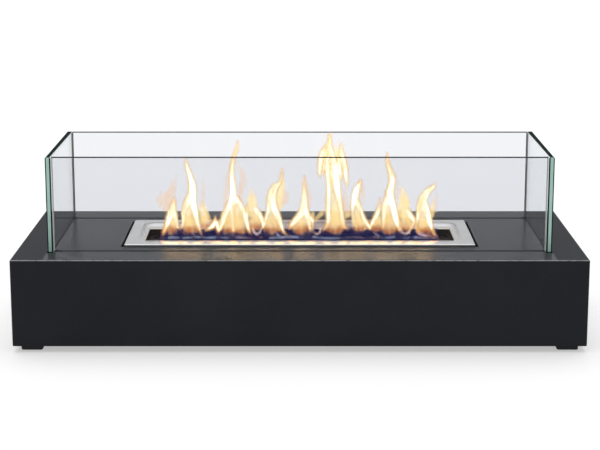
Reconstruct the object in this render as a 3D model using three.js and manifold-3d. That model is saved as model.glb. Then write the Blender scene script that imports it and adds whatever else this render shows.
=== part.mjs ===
// Tabletop bioethanol fireplace: a folded steel housing on four feet, four glass panes that stand in deck
// slots, and a drop-in stainless burner with a pressed recess. Millimetres, +Z up, front towards -Y, origin
// on the floor under the middle of the housing.
import * as THREE from 'three';
import { mergeVertices } from 'three/addons/utils/BufferGeometryUtils.js';
import Module from 'manifold-3d';

const wasm = await Module();
wasm.setup();

// ---------------------------------------------------------------- driving dimensions: housing and feet
const HOUSING_LENGTH = 600; // along X
const HOUSING_DEPTH = 250; // along Y
const HOUSING_HEIGHT = 92.5; // wall foot to deck top
const HOUSING_SHEET = 1.5; // sheet thickness of deck and walls
const FOLD_RADIUS = 2; // outside radius of the folds round the deck
const CORNER_RADIUS = 2.6; // outside radius of the upright corners
const FOOT_HEIGHT = 7;
const FOOT_WIDTH = 22.5; // square in plan
const FOOT_SIDE_INSET = 7.5; // from the housing's end walls
const FOOT_FRONT_INSET = 10; // from the front and back walls
const FOOT_EDGE_RADIUS = 1.2;

// ---------------------------------------------------------------- driving dimensions: glass
const GLASS_THICKNESS = 6;
const GLASS_RISE = 100.5; // above the deck
const GLASS_SINK = 12; // below the deck, in the channel
const GLASS_END_INSET = 34; // end wall to the outer face of a side pane
const GLASS_FRONT_INSET = 38.5; // front wall to the outer face of the front pane
const PANE_END_GAP = 1.5; // front pane's end to the side pane
const PANE_NOTCH = 3; // cut off the lower corners of the front and back panes
const SLOT_CLEARANCE = 0.5; // glass to slot edge
const SIDE_SLOT_OVERRUN = 6; // side slots run past the pane's ends
const CHANNEL_SHEET = 1.2;
const SEAL_THICKNESS = 1.5;

// ---------------------------------------------------------------- driving dimensions: burner
const BURNER_END_MARGIN = 72; // side pane's inner face to the burner flange
const BURNER_SIDE_MARGIN = 17.75; // front pane's inner face to the burner flange
const CUTOUT_GAP = 2.2; // flange to the edge of the deck's cut-out
const FLANGE_RISE = 2.4; // flange top above the deck
const FLANGE_CORNER_RADIUS = 1.6;
const FLANGE_EDGE_RADIUS = 0.7;
const TRAY_SHEET = 1.2;
const RECESS_BORDER = 12; // flat border round the recess
const RECESS_CORNER_RADIUS = 13;
const RECESS_END_RUN = 7.9; // length of the slope at the ends
const RECESS_SIDE_RUN = 21.1; // length of the slope at front and back
const RECESS_DROP = 3.2;
const RECESS_BEND_SHARE = 0.16; // share of the slope's run taken by each bend
const MOUTH_CORNER_RADIUS = 2.2;
const NECK_DEPTH = 8; // turned-down edge of the mouth
const TANK_SHEET = 1.2;
const TANK_DEPTH = 62; // neck's top to the tank's underside
const TANK_CORNER_RADIUS = 4;
const TANK_FLOOR_RADIUS = 3;
const PAD_CLEARANCE = 0.8; // fibre pad to the tank wall
const SCREEN_SHEET = 1;
const SCREEN_SLOT_LENGTH = 17;
const SCREEN_SLOT_WIDTH = 5;
const SCREEN_SLOTS = 13; // in each row
const SCREEN_ROWS = 3;
const LEDGE_SHEET = 1.5;
const LEDGE_OVERLAP = 10; // ledge under the deck, outside the cut-out
const LEDGE_REACH = 10; // ledge inside the cut-out
const LEDGE_TURN_DOWN = 9;
const GASKET_THICKNESS = 1;
const GASKET_WIDTH = 8;
const GASKET_SHOW = 0.4; // gasket past the flange's edge

// ---------------------------------------------------------------- driving dimensions: base and fasteners
const BASE_SHEET = 1.5;
const BASE_CLEARANCE = 0.5; // base plate to the walls
const VENT_LENGTH = 36;
const VENT_WIDTH = 5;
const VENT_PITCH = 60;
const VENT_COUNT = 7; // in each row
const VENT_ROW_OFFSET = 62; // rows in front of and behind the middle
const BRACKET_WIDTH = 22;
const BRACKET_LEG = 16;
const BRACKET_SHEET = 2;
const BRACKET_BEND_RADIUS = 2.4;
const BRACKET_OFFSET = 190; // front and back brackets, either side of the middle
const BRACKET_SCREW_SHARE = 0.6; // screw's place along the leg, from the wall
const SCREW_RADIUS = 1.95;
const SCREW_HOLE_RADIUS = 2.2;
const SCREW_HEAD_RADIUS = 4;
const SCREW_HEAD_HEIGHT = 2.4;
const SCREW_DOME_SHARE = 0.6; // rounded share of the head's height
const SCREW_SOCKET_RADIUS = 1.45;
const SCREW_SOCKET_DEPTH = 1.3;
const SCREW_TIP = 1.2; // thread past the nut or bracket
const SCREW_CHAMFER = 0.5; // at the thread's end
const COUNTERBORE_RADIUS = 4.8;
const COUNTERBORE_DEPTH = 3.6;
const NUT_FLATS = 7;
const NUT_HEIGHT = 3.2;
const CONTACT_GAP = 0.3; // between pieces that touch
const LEAST_RADIUS = 0.4; // inside radius of the tightest bend

// ---------------------------------------------------------------- facet counts and making aids
const BEND_STEPS = 3;
const CORNER_STEPS = 4;
const PRESSED_CORNER_STEPS = 6;
const SLOT_END_STEPS = 2; // per quarter turn
const ROUND_STEPS = 16;
const HEXAGON_SIDES = 6;
const CUTTER_OVERRUN = 1; // cutters run past the faces they go through
const WELD_DISTANCE = 1e-4;

// ---------------------------------------------------------------- heights and places worked out
const deckTop = FOOT_HEIGHT + HOUSING_HEIGHT;
const deckUnderside = deckTop - HOUSING_SHEET;
const halfLength = HOUSING_LENGTH / 2;
const halfDepth = HOUSING_DEPTH / 2;
const wallInnerX = halfLength - HOUSING_SHEET;
const wallInnerY = halfDepth - HOUSING_SHEET;

const glassOuterX = halfLength - GLASS_END_INSET;
const glassOuterY = halfDepth - GLASS_FRONT_INSET;
const glassInnerX = glassOuterX - GLASS_THICKNESS;
const glassInnerY = glassOuterY - GLASS_THICKNESS;
const longPaneHalf = glassInnerX - PANE_END_GAP;
const longTongueHalf = longPaneHalf - PANE_NOTCH;
const slotWidth = GLASS_THICKNESS + 2 * SLOT_CLEARANCE;
const paneTop = deckTop + GLASS_RISE;
const paneBottom = deckTop - GLASS_SINK;
const longPaneY = glassOuterY - GLASS_THICKNESS / 2;
const sidePaneX = glassOuterX - GLASS_THICKNESS / 2;

const flangeX = glassInnerX - BURNER_END_MARGIN;
const flangeY = glassInnerY - BURNER_SIDE_MARGIN;
const cutoutX = flangeX + CUTOUT_GAP;
const cutoutY = flangeY + CUTOUT_GAP;
const recessX = flangeX - RECESS_BORDER;
const recessY = flangeY - RECESS_BORDER;
const mouthX = recessX - RECESS_END_RUN;
const mouthY = recessY - RECESS_SIDE_RUN;
const flangeTop = deckTop + FLANGE_RISE;
const mouthTop = flangeTop - RECESS_DROP;
const neckBottom = mouthTop - NECK_DEPTH;
const ledgeTop = deckUnderside - CONTACT_GAP;
const gasketTop = ledgeTop + CONTACT_GAP + GASKET_THICKNESS;
const lipBottom = gasketTop + CONTACT_GAP;
const tankInnerX = mouthX + TRAY_SHEET + CONTACT_GAP;
const tankInnerY = mouthY + TRAY_SHEET + CONTACT_GAP;
const tankTop = mouthTop - TRAY_SHEET - CONTACT_GAP;
const tankBottom = mouthTop - TANK_DEPTH;
const screenTop = neckBottom - CONTACT_GAP;
const screenUnderside = screenTop - SCREEN_SHEET;
const screenSlotPitch = 2 * mouthX / SCREEN_SLOTS;
const screenRowPitch = 2 * mouthY / SCREEN_ROWS;
const padTop = screenUnderside - CONTACT_GAP;

const baseTop = FOOT_HEIGHT + BASE_SHEET;
const baseHalfX = wallInnerX - BASE_CLEARANCE;
const baseHalfY = wallInnerY - BASE_CLEARANCE;
const footX = halfLength - FOOT_SIDE_INSET - FOOT_WIDTH / 2;
const footY = halfDepth - FOOT_FRONT_INSET - FOOT_WIDTH / 2;
const bracketBottom = baseTop + CONTACT_GAP;

// ---------------------------------------------------------------- finishes
const blackPowderCoat = { color: 0x2b2c30, roughness: 0.55, metalness: 0.2 };
const blackZinc = { color: 0x303236, roughness: 0.5, metalness: 0.7 };
const stainless = { color: 0xc9c7c2, roughness: 0.3, metalness: 1 };
const darkStainless = { color: 0x6d6862, roughness: 0.45, metalness: 1 };
const zincPlate = { color: 0xb4b8bc, roughness: 0.4, metalness: 0.9 };
const clearGlass = { color: 0xdfece8, roughness: 0.03, metalness: 0, transparent: true, opacity: 0.35 };
const blackRubber = { color: 0x141416, roughness: 0.85, metalness: 0 };
const gasketTape = { color: 0x1c1b1a, roughness: 0.95, metalness: 0 };
const ceramicFibre = { color: 0xd9d4c8, roughness: 1, metalness: 0 };

// ---------------------------------------------------------------- closed solids
function solidFrom(geometry) {
  geometry.deleteAttribute('normal');
  geometry.deleteAttribute('uv');
  const merged = mergeVertices(geometry, WELD_DISTANCE);
  const index = merged.index.array;
  const kept = [];
  for (let i = 0; i < index.length; i += 3) {
    const [a, b, c] = [index[i], index[i + 1], index[i + 2]];
    if (a !== b && b !== c && a !== c) {
      kept.push(a, b, c);
    }
  }
  const mesh = new wasm.Mesh({
    numProp: 3,
    vertProperties: new Float32Array(merged.attributes.position.array),
    triVerts: new Uint32Array(kept),
  });
  return new wasm.Manifold(mesh);
}

function geometryFrom(solid) {
  const mesh = solid.getMesh();
  const geometry = new THREE.BufferGeometry();
  geometry.setAttribute('position', new THREE.BufferAttribute(mesh.vertProperties, 3));
  geometry.setIndex(new THREE.BufferAttribute(mesh.triVerts, 1));
  geometry.computeVertexNormals();
  return geometry;
}

function cut(solid, ...tools) {
  return tools.reduce((left, tool) => left.subtract(tool), solid);
}

function box(low, high) {
  const size = high.map((value, axis) => value - low[axis]);
  const geometry = new THREE.BoxGeometry(...size);
  geometry.translate(...low.map((value, axis) => value + size[axis] / 2));
  return solidFrom(geometry);
}

// Outline points run anticlockwise, seen from +Z.
function roundedRectangle(halfX, halfY, radius, steps) {
  const points = [];
  const corners = [[1, 1], [-1, 1], [-1, -1], [1, -1]];
  corners.forEach(([signX, signY], quarter) => {
    for (let i = 0; i <= steps; i += 1) {
      const angle = (quarter + i / steps) * Math.PI / 2;
      points.push([
        signX * (halfX - radius) + radius * Math.cos(angle),
        signY * (halfY - radius) + radius * Math.sin(angle),
      ]);
    }
  });
  return points;
}

// Skin through rounded rectangles { x, y, radius, z }. An open stack is capped at both ends. A closed one
// runs up the outside, over the top, down the inside and back below, as the section of a ring does.
function loft(loops, closed, steps) {
  const rings = loops.map((loop) => roundedRectangle(loop.x, loop.y, loop.radius, steps)
    .map(([x, y]) => [x, y, loop.z]));
  const count = rings[0].length;
  const faces = [];
  const spans = closed ? rings.length : rings.length - 1;
  for (let k = 0; k < spans; k += 1) {
    const lower = k * count;
    const upper = ((k + 1) % rings.length) * count;
    for (let i = 0; i < count; i += 1) {
      const j = (i + 1) % count;
      faces.push(lower + i, lower + j, upper + j, lower + i, upper + j, upper + i);
    }
  }
  if (!closed) {
    const top = (rings.length - 1) * count;
    for (let i = 1; i < count - 1; i += 1) {
      faces.push(0, i + 1, i, top, top + i, top + i + 1);
    }
  }
  const geometry = new THREE.BufferGeometry();
  geometry.setAttribute('position', new THREE.Float32BufferAttribute(rings.flat(2), 3));
  geometry.setIndex(faces);
  return solidFrom(geometry);
}

function plainBlock(x, y, radius, low, high, steps) {
  return loft([{ x, y, radius, z: low }, { x, y, radius, z: high }], false, steps);
}

// A quarter turn of an edge: pairs [inset, rise] from the side face to the top face.
function quarterTurn(radius, steps) {
  return Array.from({ length: steps + 1 }, (_, i) => {
    const angle = (i / steps) * Math.PI / 2;
    return [radius * (1 - Math.cos(angle)), radius * Math.sin(angle)];
  });
}

// A block whose top edge is rounded all round.
function softToppedBlock(x, y, corner, edge, low, high) {
  const rim = quarterTurn(edge, BEND_STEPS).map(([inset, rise]) => ({
    x: x - inset,
    y: y - inset,
    radius: corner - inset,
    z: high - edge + rise,
  }));
  return loft([{ x, y, radius: corner, z: low }, ...rim], false, CORNER_STEPS);
}

// A block whose bottom edge is rounded all round.
function softBottomedBlock(x, y, corner, edge, low, high) {
  const turned = quarterTurn(edge, BEND_STEPS).reverse().map(([inset, rise]) => ({
    x: x - inset,
    y: y - inset,
    radius: corner - inset,
    z: low + edge - rise,
  }));
  return loft([...turned, { x, y, radius: corner, z: high }], false, CORNER_STEPS);
}

// The section is a list of [y, z] points, anticlockwise seen from +X.
function alongX(section, from, to) {
  const shape = new THREE.Shape(section.map(([y, z]) => new THREE.Vector2(y, z)));
  const geometry = new THREE.ExtrudeGeometry(shape, { depth: to - from, bevelEnabled: false });
  const basis = new THREE.Matrix4().makeBasis(
    new THREE.Vector3(0, 1, 0),
    new THREE.Vector3(0, 0, 1),
    new THREE.Vector3(1, 0, 0),
  );
  geometry.applyMatrix4(basis);
  geometry.translate(from, 0, 0);
  return solidFrom(geometry);
}

function upright(radius, low, high, x = 0, y = 0, sides = ROUND_STEPS) {
  const geometry = new THREE.CylinderGeometry(radius, radius, high - low, sides);
  geometry.rotateX(Math.PI / 2);
  geometry.translate(x, y, (low + high) / 2);
  return solidFrom(geometry);
}

// A round-ended slot along X, through everything between two heights.
function slotCutter(length, width, x, y, low, high) {
  const radius = width / 2;
  const reach = length / 2 - radius;
  const outline = new THREE.Shape();
  outline.absarc(reach, 0, radius, -Math.PI / 2, Math.PI / 2);
  outline.absarc(-reach, 0, radius, Math.PI / 2, 1.5 * Math.PI);
  const geometry = new THREE.ExtrudeGeometry(outline, {
    depth: high - low,
    bevelEnabled: false,
    curveSegments: SLOT_END_STEPS,
  });
  geometry.translate(x, y, low);
  return solidFrom(geometry);
}

// Centres of a row of copies, either side of the middle.
function row(count, pitch) {
  return Array.from({ length: count }, (_, i) => (i - (count - 1) / 2) * pitch);
}

// ---------------------------------------------------------------- housing
function slotBox(halfX, halfY, x, y) {
  const low = [x - halfX, y - halfY, deckUnderside - CUTTER_OVERRUN];
  const high = [x + halfX, y + halfY, deckTop + CUTTER_OVERRUN];
  return box(low, high);
}

function makeHousing() {
  const shell = softToppedBlock(halfLength, halfDepth, CORNER_RADIUS, FOLD_RADIUS, FOOT_HEIGHT, deckTop);
  const innerFold = Math.max(FOLD_RADIUS - HOUSING_SHEET, LEAST_RADIUS);
  const innerCorner = Math.max(CORNER_RADIUS - HOUSING_SHEET, innerFold + LEAST_RADIUS);
  const hollow = softToppedBlock(
    wallInnerX,
    wallInnerY,
    innerCorner,
    innerFold,
    FOOT_HEIGHT - CUTTER_OVERRUN,
    deckUnderside,
  );
  const cutout = plainBlock(
    cutoutX,
    cutoutY,
    FLANGE_CORNER_RADIUS + CUTOUT_GAP,
    deckUnderside - CUTTER_OVERRUN,
    deckTop + CUTTER_OVERRUN,
    CORNER_STEPS,
  );
  const longSlotHalf = longTongueHalf + SLOT_CLEARANCE;
  const sideSlotHalf = glassOuterY + SIDE_SLOT_OVERRUN;
  const slots = [-1, 1].flatMap((side) => [
    slotBox(longSlotHalf, slotWidth / 2, 0, side * longPaneY),
    slotBox(slotWidth / 2, sideSlotHalf, side * sidePaneX, 0),
  ]);
  return cut(shell, hollow, cutout, ...slots);
}

// ---------------------------------------------------------------- glass and what carries it
// Seen from the front: a plate with its two lower corners cut back, so that it stands in a shorter slot.
function makeLongPane(side) {
  const shoulder = deckTop + CONTACT_GAP;
  const section = [
    [longTongueHalf, paneBottom],
    [longTongueHalf, shoulder],
    [longPaneHalf, shoulder],
    [longPaneHalf, paneTop],
    [-longPaneHalf, paneTop],
    [-longPaneHalf, shoulder],
    [-longTongueHalf, shoulder],
    [-longTongueHalf, paneBottom],
  ];
  const plate = alongX(section, -GLASS_THICKNESS / 2, GLASS_THICKNESS / 2);
  return plate.rotate([0, 0, 90]).translate([0, side * longPaneY, 0]);
}

function makeSidePane(side) {
  const x = side * sidePaneX;
  const half = GLASS_THICKNESS / 2;
  return box([x - half, -glassOuterY, paneBottom], [x + half, glassOuterY, paneTop]);
}

const sealTop = paneBottom - CONTACT_GAP;
const channelFloor = sealTop - SEAL_THICKNESS - CONTACT_GAP;
const channelTop = deckUnderside - CONTACT_GAP;
const sideChannelHalf = glassOuterY + SLOT_CLEARANCE;
const longChannelHalf = longTongueHalf + SLOT_CLEARANCE;

function makeChannel(halfRun) {
  const inner = slotWidth / 2;
  const outer = inner + CHANNEL_SHEET;
  const section = [
    [-outer, channelFloor - CHANNEL_SHEET],
    [outer, channelFloor - CHANNEL_SHEET],
    [outer, channelTop],
    [inner, channelTop],
    [inner, channelFloor],
    [-inner, channelFloor],
    [-inner, channelTop],
    [-outer, channelTop],
  ];
  return alongX(section, -halfRun, halfRun);
}

function makeSeal(halfRun) {
  const half = slotWidth / 2 - CONTACT_GAP;
  return box([-halfRun, -half, sealTop - SEAL_THICKNESS], [halfRun, half, sealTop]);
}

// ---------------------------------------------------------------- burner
// Height of the pressed slope, as a share of its drop, at a share of its run: straight between two bends.
function slopeShare(run) {
  const bend = RECESS_BEND_SHARE;
  if (run < bend) {
    return run * run / (2 * bend * (1 - bend));
  }
  if (run > 1 - bend) {
    return 1 - (1 - run) * (1 - run) / (2 * bend * (1 - bend));
  }
  return (run - bend / 2) / (1 - bend);
}

// The pressed stainless tray: turned-down rim, flat border, sloping recess and turned-down neck. Its
// section is followed up the rim, in along the top, down the neck, and back out below at sheet thickness.
function makeTray() {
  const rim = quarterTurn(FLANGE_EDGE_RADIUS, BEND_STEPS).map(([inset, rise]) => ({
    x: flangeX - inset,
    y: flangeY - inset,
    radius: FLANGE_CORNER_RADIUS - inset,
    z: flangeTop - FLANGE_EDGE_RADIUS + rise,
  }));
  const bend = RECESS_BEND_SHARE;
  const runs = [0, bend / 2, bend, 0.5, 1 - bend, 1 - bend / 2, 1];
  const slope = (lift) => runs.map((run) => ({
    x: THREE.MathUtils.lerp(recessX, mouthX + lift, run),
    y: THREE.MathUtils.lerp(recessY, mouthY + lift, run),
    radius: THREE.MathUtils.lerp(RECESS_CORNER_RADIUS, MOUTH_CORNER_RADIUS + lift, run),
    z: flangeTop - lift - slopeShare(run) * RECESS_DROP,
  }));
  const neckOuter = {
    x: mouthX + TRAY_SHEET,
    y: mouthY + TRAY_SHEET,
    radius: MOUTH_CORNER_RADIUS + TRAY_SHEET,
  };
  const rimInner = {
    x: flangeX - TRAY_SHEET,
    y: flangeY - TRAY_SHEET,
    radius: Math.max(FLANGE_CORNER_RADIUS - TRAY_SHEET, LEAST_RADIUS),
  };
  const section = [
    { x: flangeX, y: flangeY, radius: FLANGE_CORNER_RADIUS, z: lipBottom },
    ...rim,
    ...slope(0),
    { x: mouthX, y: mouthY, radius: MOUTH_CORNER_RADIUS, z: neckBottom },
    { ...neckOuter, z: neckBottom },
    ...slope(TRAY_SHEET).reverse(),
    { ...rimInner, z: flangeTop - TRAY_SHEET },
    { ...rimInner, z: lipBottom },
  ];
  return loft(section, true, PRESSED_CORNER_STEPS);
}

function makeTank() {
  const outer = softBottomedBlock(
    tankInnerX + TANK_SHEET,
    tankInnerY + TANK_SHEET,
    TANK_CORNER_RADIUS,
    TANK_FLOOR_RADIUS,
    tankBottom,
    tankTop,
  );
  const inner = softBottomedBlock(
    tankInnerX,
    tankInnerY,
    TANK_CORNER_RADIUS - TANK_SHEET,
    TANK_FLOOR_RADIUS - TANK_SHEET,
    tankBottom + TANK_SHEET,
    tankTop + CUTTER_OVERRUN,
  );
  return cut(outer, inner);
}

function makePad() {
  const x = tankInnerX - PAD_CLEARANCE;
  const y = tankInnerY - PAD_CLEARANCE;
  const low = tankBottom + TANK_SHEET + CONTACT_GAP;
  return softBottomedBlock(x, y, TANK_CORNER_RADIUS, TANK_FLOOR_RADIUS, low, padTop);
}

// The slotted plate lies on the pad and is wider than the mouth, so the neck keeps it down.
function makeScreen() {
  const x = tankInnerX - PAD_CLEARANCE;
  const y = tankInnerY - PAD_CLEARANCE;
  const plate = plainBlock(x, y, TANK_CORNER_RADIUS, screenUnderside, screenTop, CORNER_STEPS);
  const slots = row(SCREEN_ROWS, screenRowPitch)
    .flatMap((slotY) => row(SCREEN_SLOTS, screenSlotPitch).map((slotX) => slotCutter(
      SCREEN_SLOT_LENGTH,
      SCREEN_SLOT_WIDTH,
      slotX,
      slotY,
      screenUnderside - CUTTER_OVERRUN,
      screenTop + CUTTER_OVERRUN,
    )));
  return cut(plate, ...slots);
}

// An angle-section ring welded under the deck: its ledge carries the burner, its turned edge stiffens it.
function makeBurnerFrame() {
  const outer = { x: cutoutX + LEDGE_OVERLAP, y: cutoutY + LEDGE_OVERLAP, radius: FLANGE_CORNER_RADIUS };
  const inner = { x: cutoutX - LEDGE_REACH, y: cutoutY - LEDGE_REACH, radius: FLANGE_CORNER_RADIUS };
  const web = {
    x: inner.x + LEDGE_SHEET,
    y: inner.y + LEDGE_SHEET,
    radius: FLANGE_CORNER_RADIUS + LEDGE_SHEET,
  };
  const ledgeUnderside = ledgeTop - LEDGE_SHEET;
  return loft([
    { ...outer, z: ledgeUnderside },
    { ...outer, z: ledgeTop },
    { ...inner, z: ledgeTop },
    { ...inner, z: ledgeTop - LEDGE_TURN_DOWN },
    { ...web, z: ledgeTop - LEDGE_TURN_DOWN },
    { ...web, z: ledgeUnderside },
  ], true, CORNER_STEPS);
}

function makeGasket() {
  const outer = { x: flangeX + GASKET_SHOW, y: flangeY + GASKET_SHOW, radius: FLANGE_CORNER_RADIUS };
  const inner = { x: outer.x - GASKET_WIDTH, y: outer.y - GASKET_WIDTH, radius: FLANGE_CORNER_RADIUS };
  const low = gasketTop - GASKET_THICKNESS;
  return loft([
    { ...outer, z: low },
    { ...outer, z: gasketTop },
    { ...inner, z: gasketTop },
    { ...inner, z: low },
  ], true, CORNER_STEPS);
}

// ---------------------------------------------------------------- base, brackets, feet and fasteners
const feet = [
  { place: 'front_left', x: -footX, y: -footY },
  { place: 'front_right', x: footX, y: -footY },
  { place: 'back_left', x: -footX, y: footY },
  { place: 'back_right', x: footX, y: footY },
];

// Each bracket stands against a wall: its turn is the wall's direction, counted from the front wall.
const screwReach = CONTACT_GAP + BRACKET_LEG * BRACKET_SCREW_SHARE;
const brackets = [
  { x: -BRACKET_OFFSET, y: -wallInnerY, turn: 0 },
  { x: BRACKET_OFFSET, y: -wallInnerY, turn: 0 },
  { x: wallInnerX, y: 0, turn: 90 },
  { x: BRACKET_OFFSET, y: wallInnerY, turn: 180 },
  { x: -BRACKET_OFFSET, y: wallInnerY, turn: 180 },
  { x: -wallInnerX, y: 0, turn: 270 },
].map((bracket) => {
  const angle = THREE.MathUtils.degToRad(bracket.turn);
  const screwX = bracket.x - screwReach * Math.sin(angle);
  const screwY = bracket.y + screwReach * Math.cos(angle);
  return { ...bracket, screwX, screwY };
});

function makeBasePlate() {
  const plate = plainBlock(baseHalfX, baseHalfY, CORNER_RADIUS, FOOT_HEIGHT, baseTop, CORNER_STEPS);
  const low = FOOT_HEIGHT - CUTTER_OVERRUN;
  const high = baseTop + CUTTER_OVERRUN;
  const screwHoles = [
    ...feet.map(({ x, y }) => upright(SCREW_HOLE_RADIUS, low, high, x, y)),
    ...brackets.map(({ screwX, screwY }) => upright(SCREW_HOLE_RADIUS, low, high, screwX, screwY)),
  ];
  const vents = [-1, 1].flatMap((side) => row(VENT_COUNT, VENT_PITCH)
    .map((x) => slotCutter(VENT_LENGTH, VENT_WIDTH, x, side * VENT_ROW_OFFSET, low, high)));
  return cut(plate, ...screwHoles, ...vents);
}

// Drawn against the front wall, standing on the base plate, then turned to its own wall.
function makeBracket({ x, y, turn }) {
  const outerBend = quarterTurn(BRACKET_BEND_RADIUS, BEND_STEPS);
  const wallFace = CONTACT_GAP;
  const section = [
    ...outerBend.map(([inset, rise]) => [
      wallFace + BRACKET_BEND_RADIUS - rise,
      bracketBottom + inset,
    ]).reverse(),
    [wallFace + BRACKET_LEG, bracketBottom],
    [wallFace + BRACKET_LEG, bracketBottom + BRACKET_SHEET],
    [wallFace + BRACKET_SHEET, bracketBottom + BRACKET_SHEET],
    [wallFace + BRACKET_SHEET, bracketBottom + BRACKET_LEG],
    [wallFace, bracketBottom + BRACKET_LEG],
  ];
  const angle = alongX(section, -BRACKET_WIDTH / 2, BRACKET_WIDTH / 2);
  const hole = upright(
    SCREW_HOLE_RADIUS,
    bracketBottom - CUTTER_OVERRUN,
    bracketBottom + BRACKET_SHEET + CUTTER_OVERRUN,
    0,
    screwReach,
  );
  return cut(angle, hole).rotate([0, 0, turn]).translate([x, y, 0]);
}

// A pan-head screw, head down: the head's bearing face is at z = 0 and the thread runs up.
function makeScrew(length) {
  const rounded = SCREW_HEAD_HEIGHT * SCREW_DOME_SHARE;
  const straight = SCREW_HEAD_HEIGHT - rounded;
  const dome = quarterTurn(rounded, BEND_STEPS).reverse();
  const profile = [
    [0, -SCREW_HEAD_HEIGHT],
    ...dome.map(([inset, rise]) => [SCREW_HEAD_RADIUS - inset, -straight - rise]),
    [SCREW_HEAD_RADIUS, 0],
    [SCREW_RADIUS, 0],
    [SCREW_RADIUS, length - SCREW_CHAMFER],
    [SCREW_RADIUS - SCREW_CHAMFER, length],
    [0, length],
  ];
  const lathe = new THREE.LatheGeometry(profile.map(([r, z]) => new THREE.Vector2(r, z)), ROUND_STEPS);
  lathe.rotateX(Math.PI / 2);
  const socket = upright(
    SCREW_SOCKET_RADIUS,
    -SCREW_HEAD_HEIGHT - CUTTER_OVERRUN,
    SCREW_SOCKET_DEPTH - SCREW_HEAD_HEIGHT,
    0,
    0,
    HEXAGON_SIDES,
  );
  return cut(solidFrom(lathe), socket);
}

function makeFoot() {
  const half = FOOT_WIDTH / 2;
  const top = FOOT_HEIGHT - CONTACT_GAP;
  const block = softBottomedBlock(half, half, 2 * FOOT_EDGE_RADIUS, FOOT_EDGE_RADIUS, 0, top);
  const hole = upright(SCREW_HOLE_RADIUS, -CUTTER_OVERRUN, top + CUTTER_OVERRUN);
  const counterbore = upright(COUNTERBORE_RADIUS, -CUTTER_OVERRUN, COUNTERBORE_DEPTH);
  return cut(block, hole, counterbore);
}

function makeNut() {
  const low = baseTop + CONTACT_GAP;
  const high = low + NUT_HEIGHT;
  const hexagon = upright(NUT_FLATS / Math.sqrt(3), low, high, 0, 0, HEXAGON_SIDES);
  return cut(hexagon, upright(SCREW_HOLE_RADIUS, low - CUTTER_OVERRUN, high + CUTTER_OVERRUN));
}

// ---------------------------------------------------------------- assembly
const fireplace = new THREE.Group();

function addPiece(parent, name, solid, finish, position = [0, 0, 0], turn = 0) {
  const mesh = new THREE.Mesh(geometryFrom(solid), new THREE.MeshStandardMaterial(finish));
  mesh.name = name;
  mesh.position.set(...position);
  mesh.rotation.z = turn;
  parent.add(mesh);
}

function addHousing() {
  addPiece(fireplace, 'housing', makeHousing(), blackPowderCoat);
  addPiece(fireplace, 'burner_frame', makeBurnerFrame(), blackZinc);
  addPiece(fireplace, 'burner_gasket', makeGasket(), gasketTape);
}

function addGlass() {
  const sides = [
    { place: 'front', pane: makeLongPane(-1), run: longChannelHalf, x: 0, y: -longPaneY, turn: 0 },
    { place: 'back', pane: makeLongPane(1), run: longChannelHalf, x: 0, y: longPaneY, turn: 0 },
    { place: 'left', pane: makeSidePane(-1), run: sideChannelHalf, x: -sidePaneX, y: 0, turn: Math.PI / 2 },
    { place: 'right', pane: makeSidePane(1), run: sideChannelHalf, x: sidePaneX, y: 0, turn: Math.PI / 2 },
  ];
  for (const { place, pane, run, x, y, turn } of sides) {
    addPiece(fireplace, `glass_channel_${place}`, makeChannel(run), blackZinc, [x, y, 0], turn);
    addPiece(fireplace, `pane_seal_${place}`, makeSeal(run), blackRubber, [x, y, 0], turn);
    addPiece(fireplace, `pane_${place}`, pane, clearGlass);
  }
}

function addBurner() {
  const burner = new THREE.Group();
  addPiece(burner, 'burner_tray', makeTray(), stainless);
  addPiece(burner, 'fuel_tank', makeTank(), darkStainless);
  addPiece(burner, 'ceramic_pad', makePad(), ceramicFibre);
  addPiece(burner, 'wick_screen', makeScreen(), darkStainless);
  fireplace.add(burner);
}

function addBase() {
  addPiece(fireplace, 'base_plate', makeBasePlate(), blackPowderCoat);
  const baseThread = BASE_SHEET + 2 * CONTACT_GAP + BRACKET_SHEET + SCREW_TIP;
  brackets.forEach((bracket, i) => {
    addPiece(fireplace, `base_bracket_${i + 1}`, makeBracket(bracket), blackZinc);
    const head = [bracket.screwX, bracket.screwY, FOOT_HEIGHT - CONTACT_GAP];
    addPiece(fireplace, `base_screw_${i + 1}`, makeScrew(baseThread), zincPlate, head);
  });
}

function addFeet() {
  const headSeat = COUNTERBORE_DEPTH - CONTACT_GAP;
  const footThread = baseTop + CONTACT_GAP + NUT_HEIGHT + SCREW_TIP - headSeat;
  for (const { place, x, y } of feet) {
    addPiece(fireplace, `foot_${place}`, makeFoot(), blackRubber, [x, y, 0]);
    addPiece(fireplace, `foot_screw_${place}`, makeScrew(footThread), zincPlate, [x, y, headSeat]);
    addPiece(fireplace, `foot_nut_${place}`, makeNut(), zincPlate, [x, y, 0]);
  }
}

addHousing();
addGlass();
addBurner();
addBase();
addFeet();

export default fireplace;
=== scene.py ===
"""Visual model of a tabletop bioethanol fireplace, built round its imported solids.

It is laid out as a Blender add-on and run as a script, in metres. The frame's solids give the places of
the solid pieces, and tables of strands give the flames' places on the deck.
"""

import math

import bmesh
import bpy
import numpy as np
from bpy.props import FloatProperty, FloatVectorProperty, PointerProperty
from bpy.types import Operator, Panel, PropertyGroup
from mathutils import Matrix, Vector
from mathutils.geometry import delaunay_2d_cdt


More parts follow.
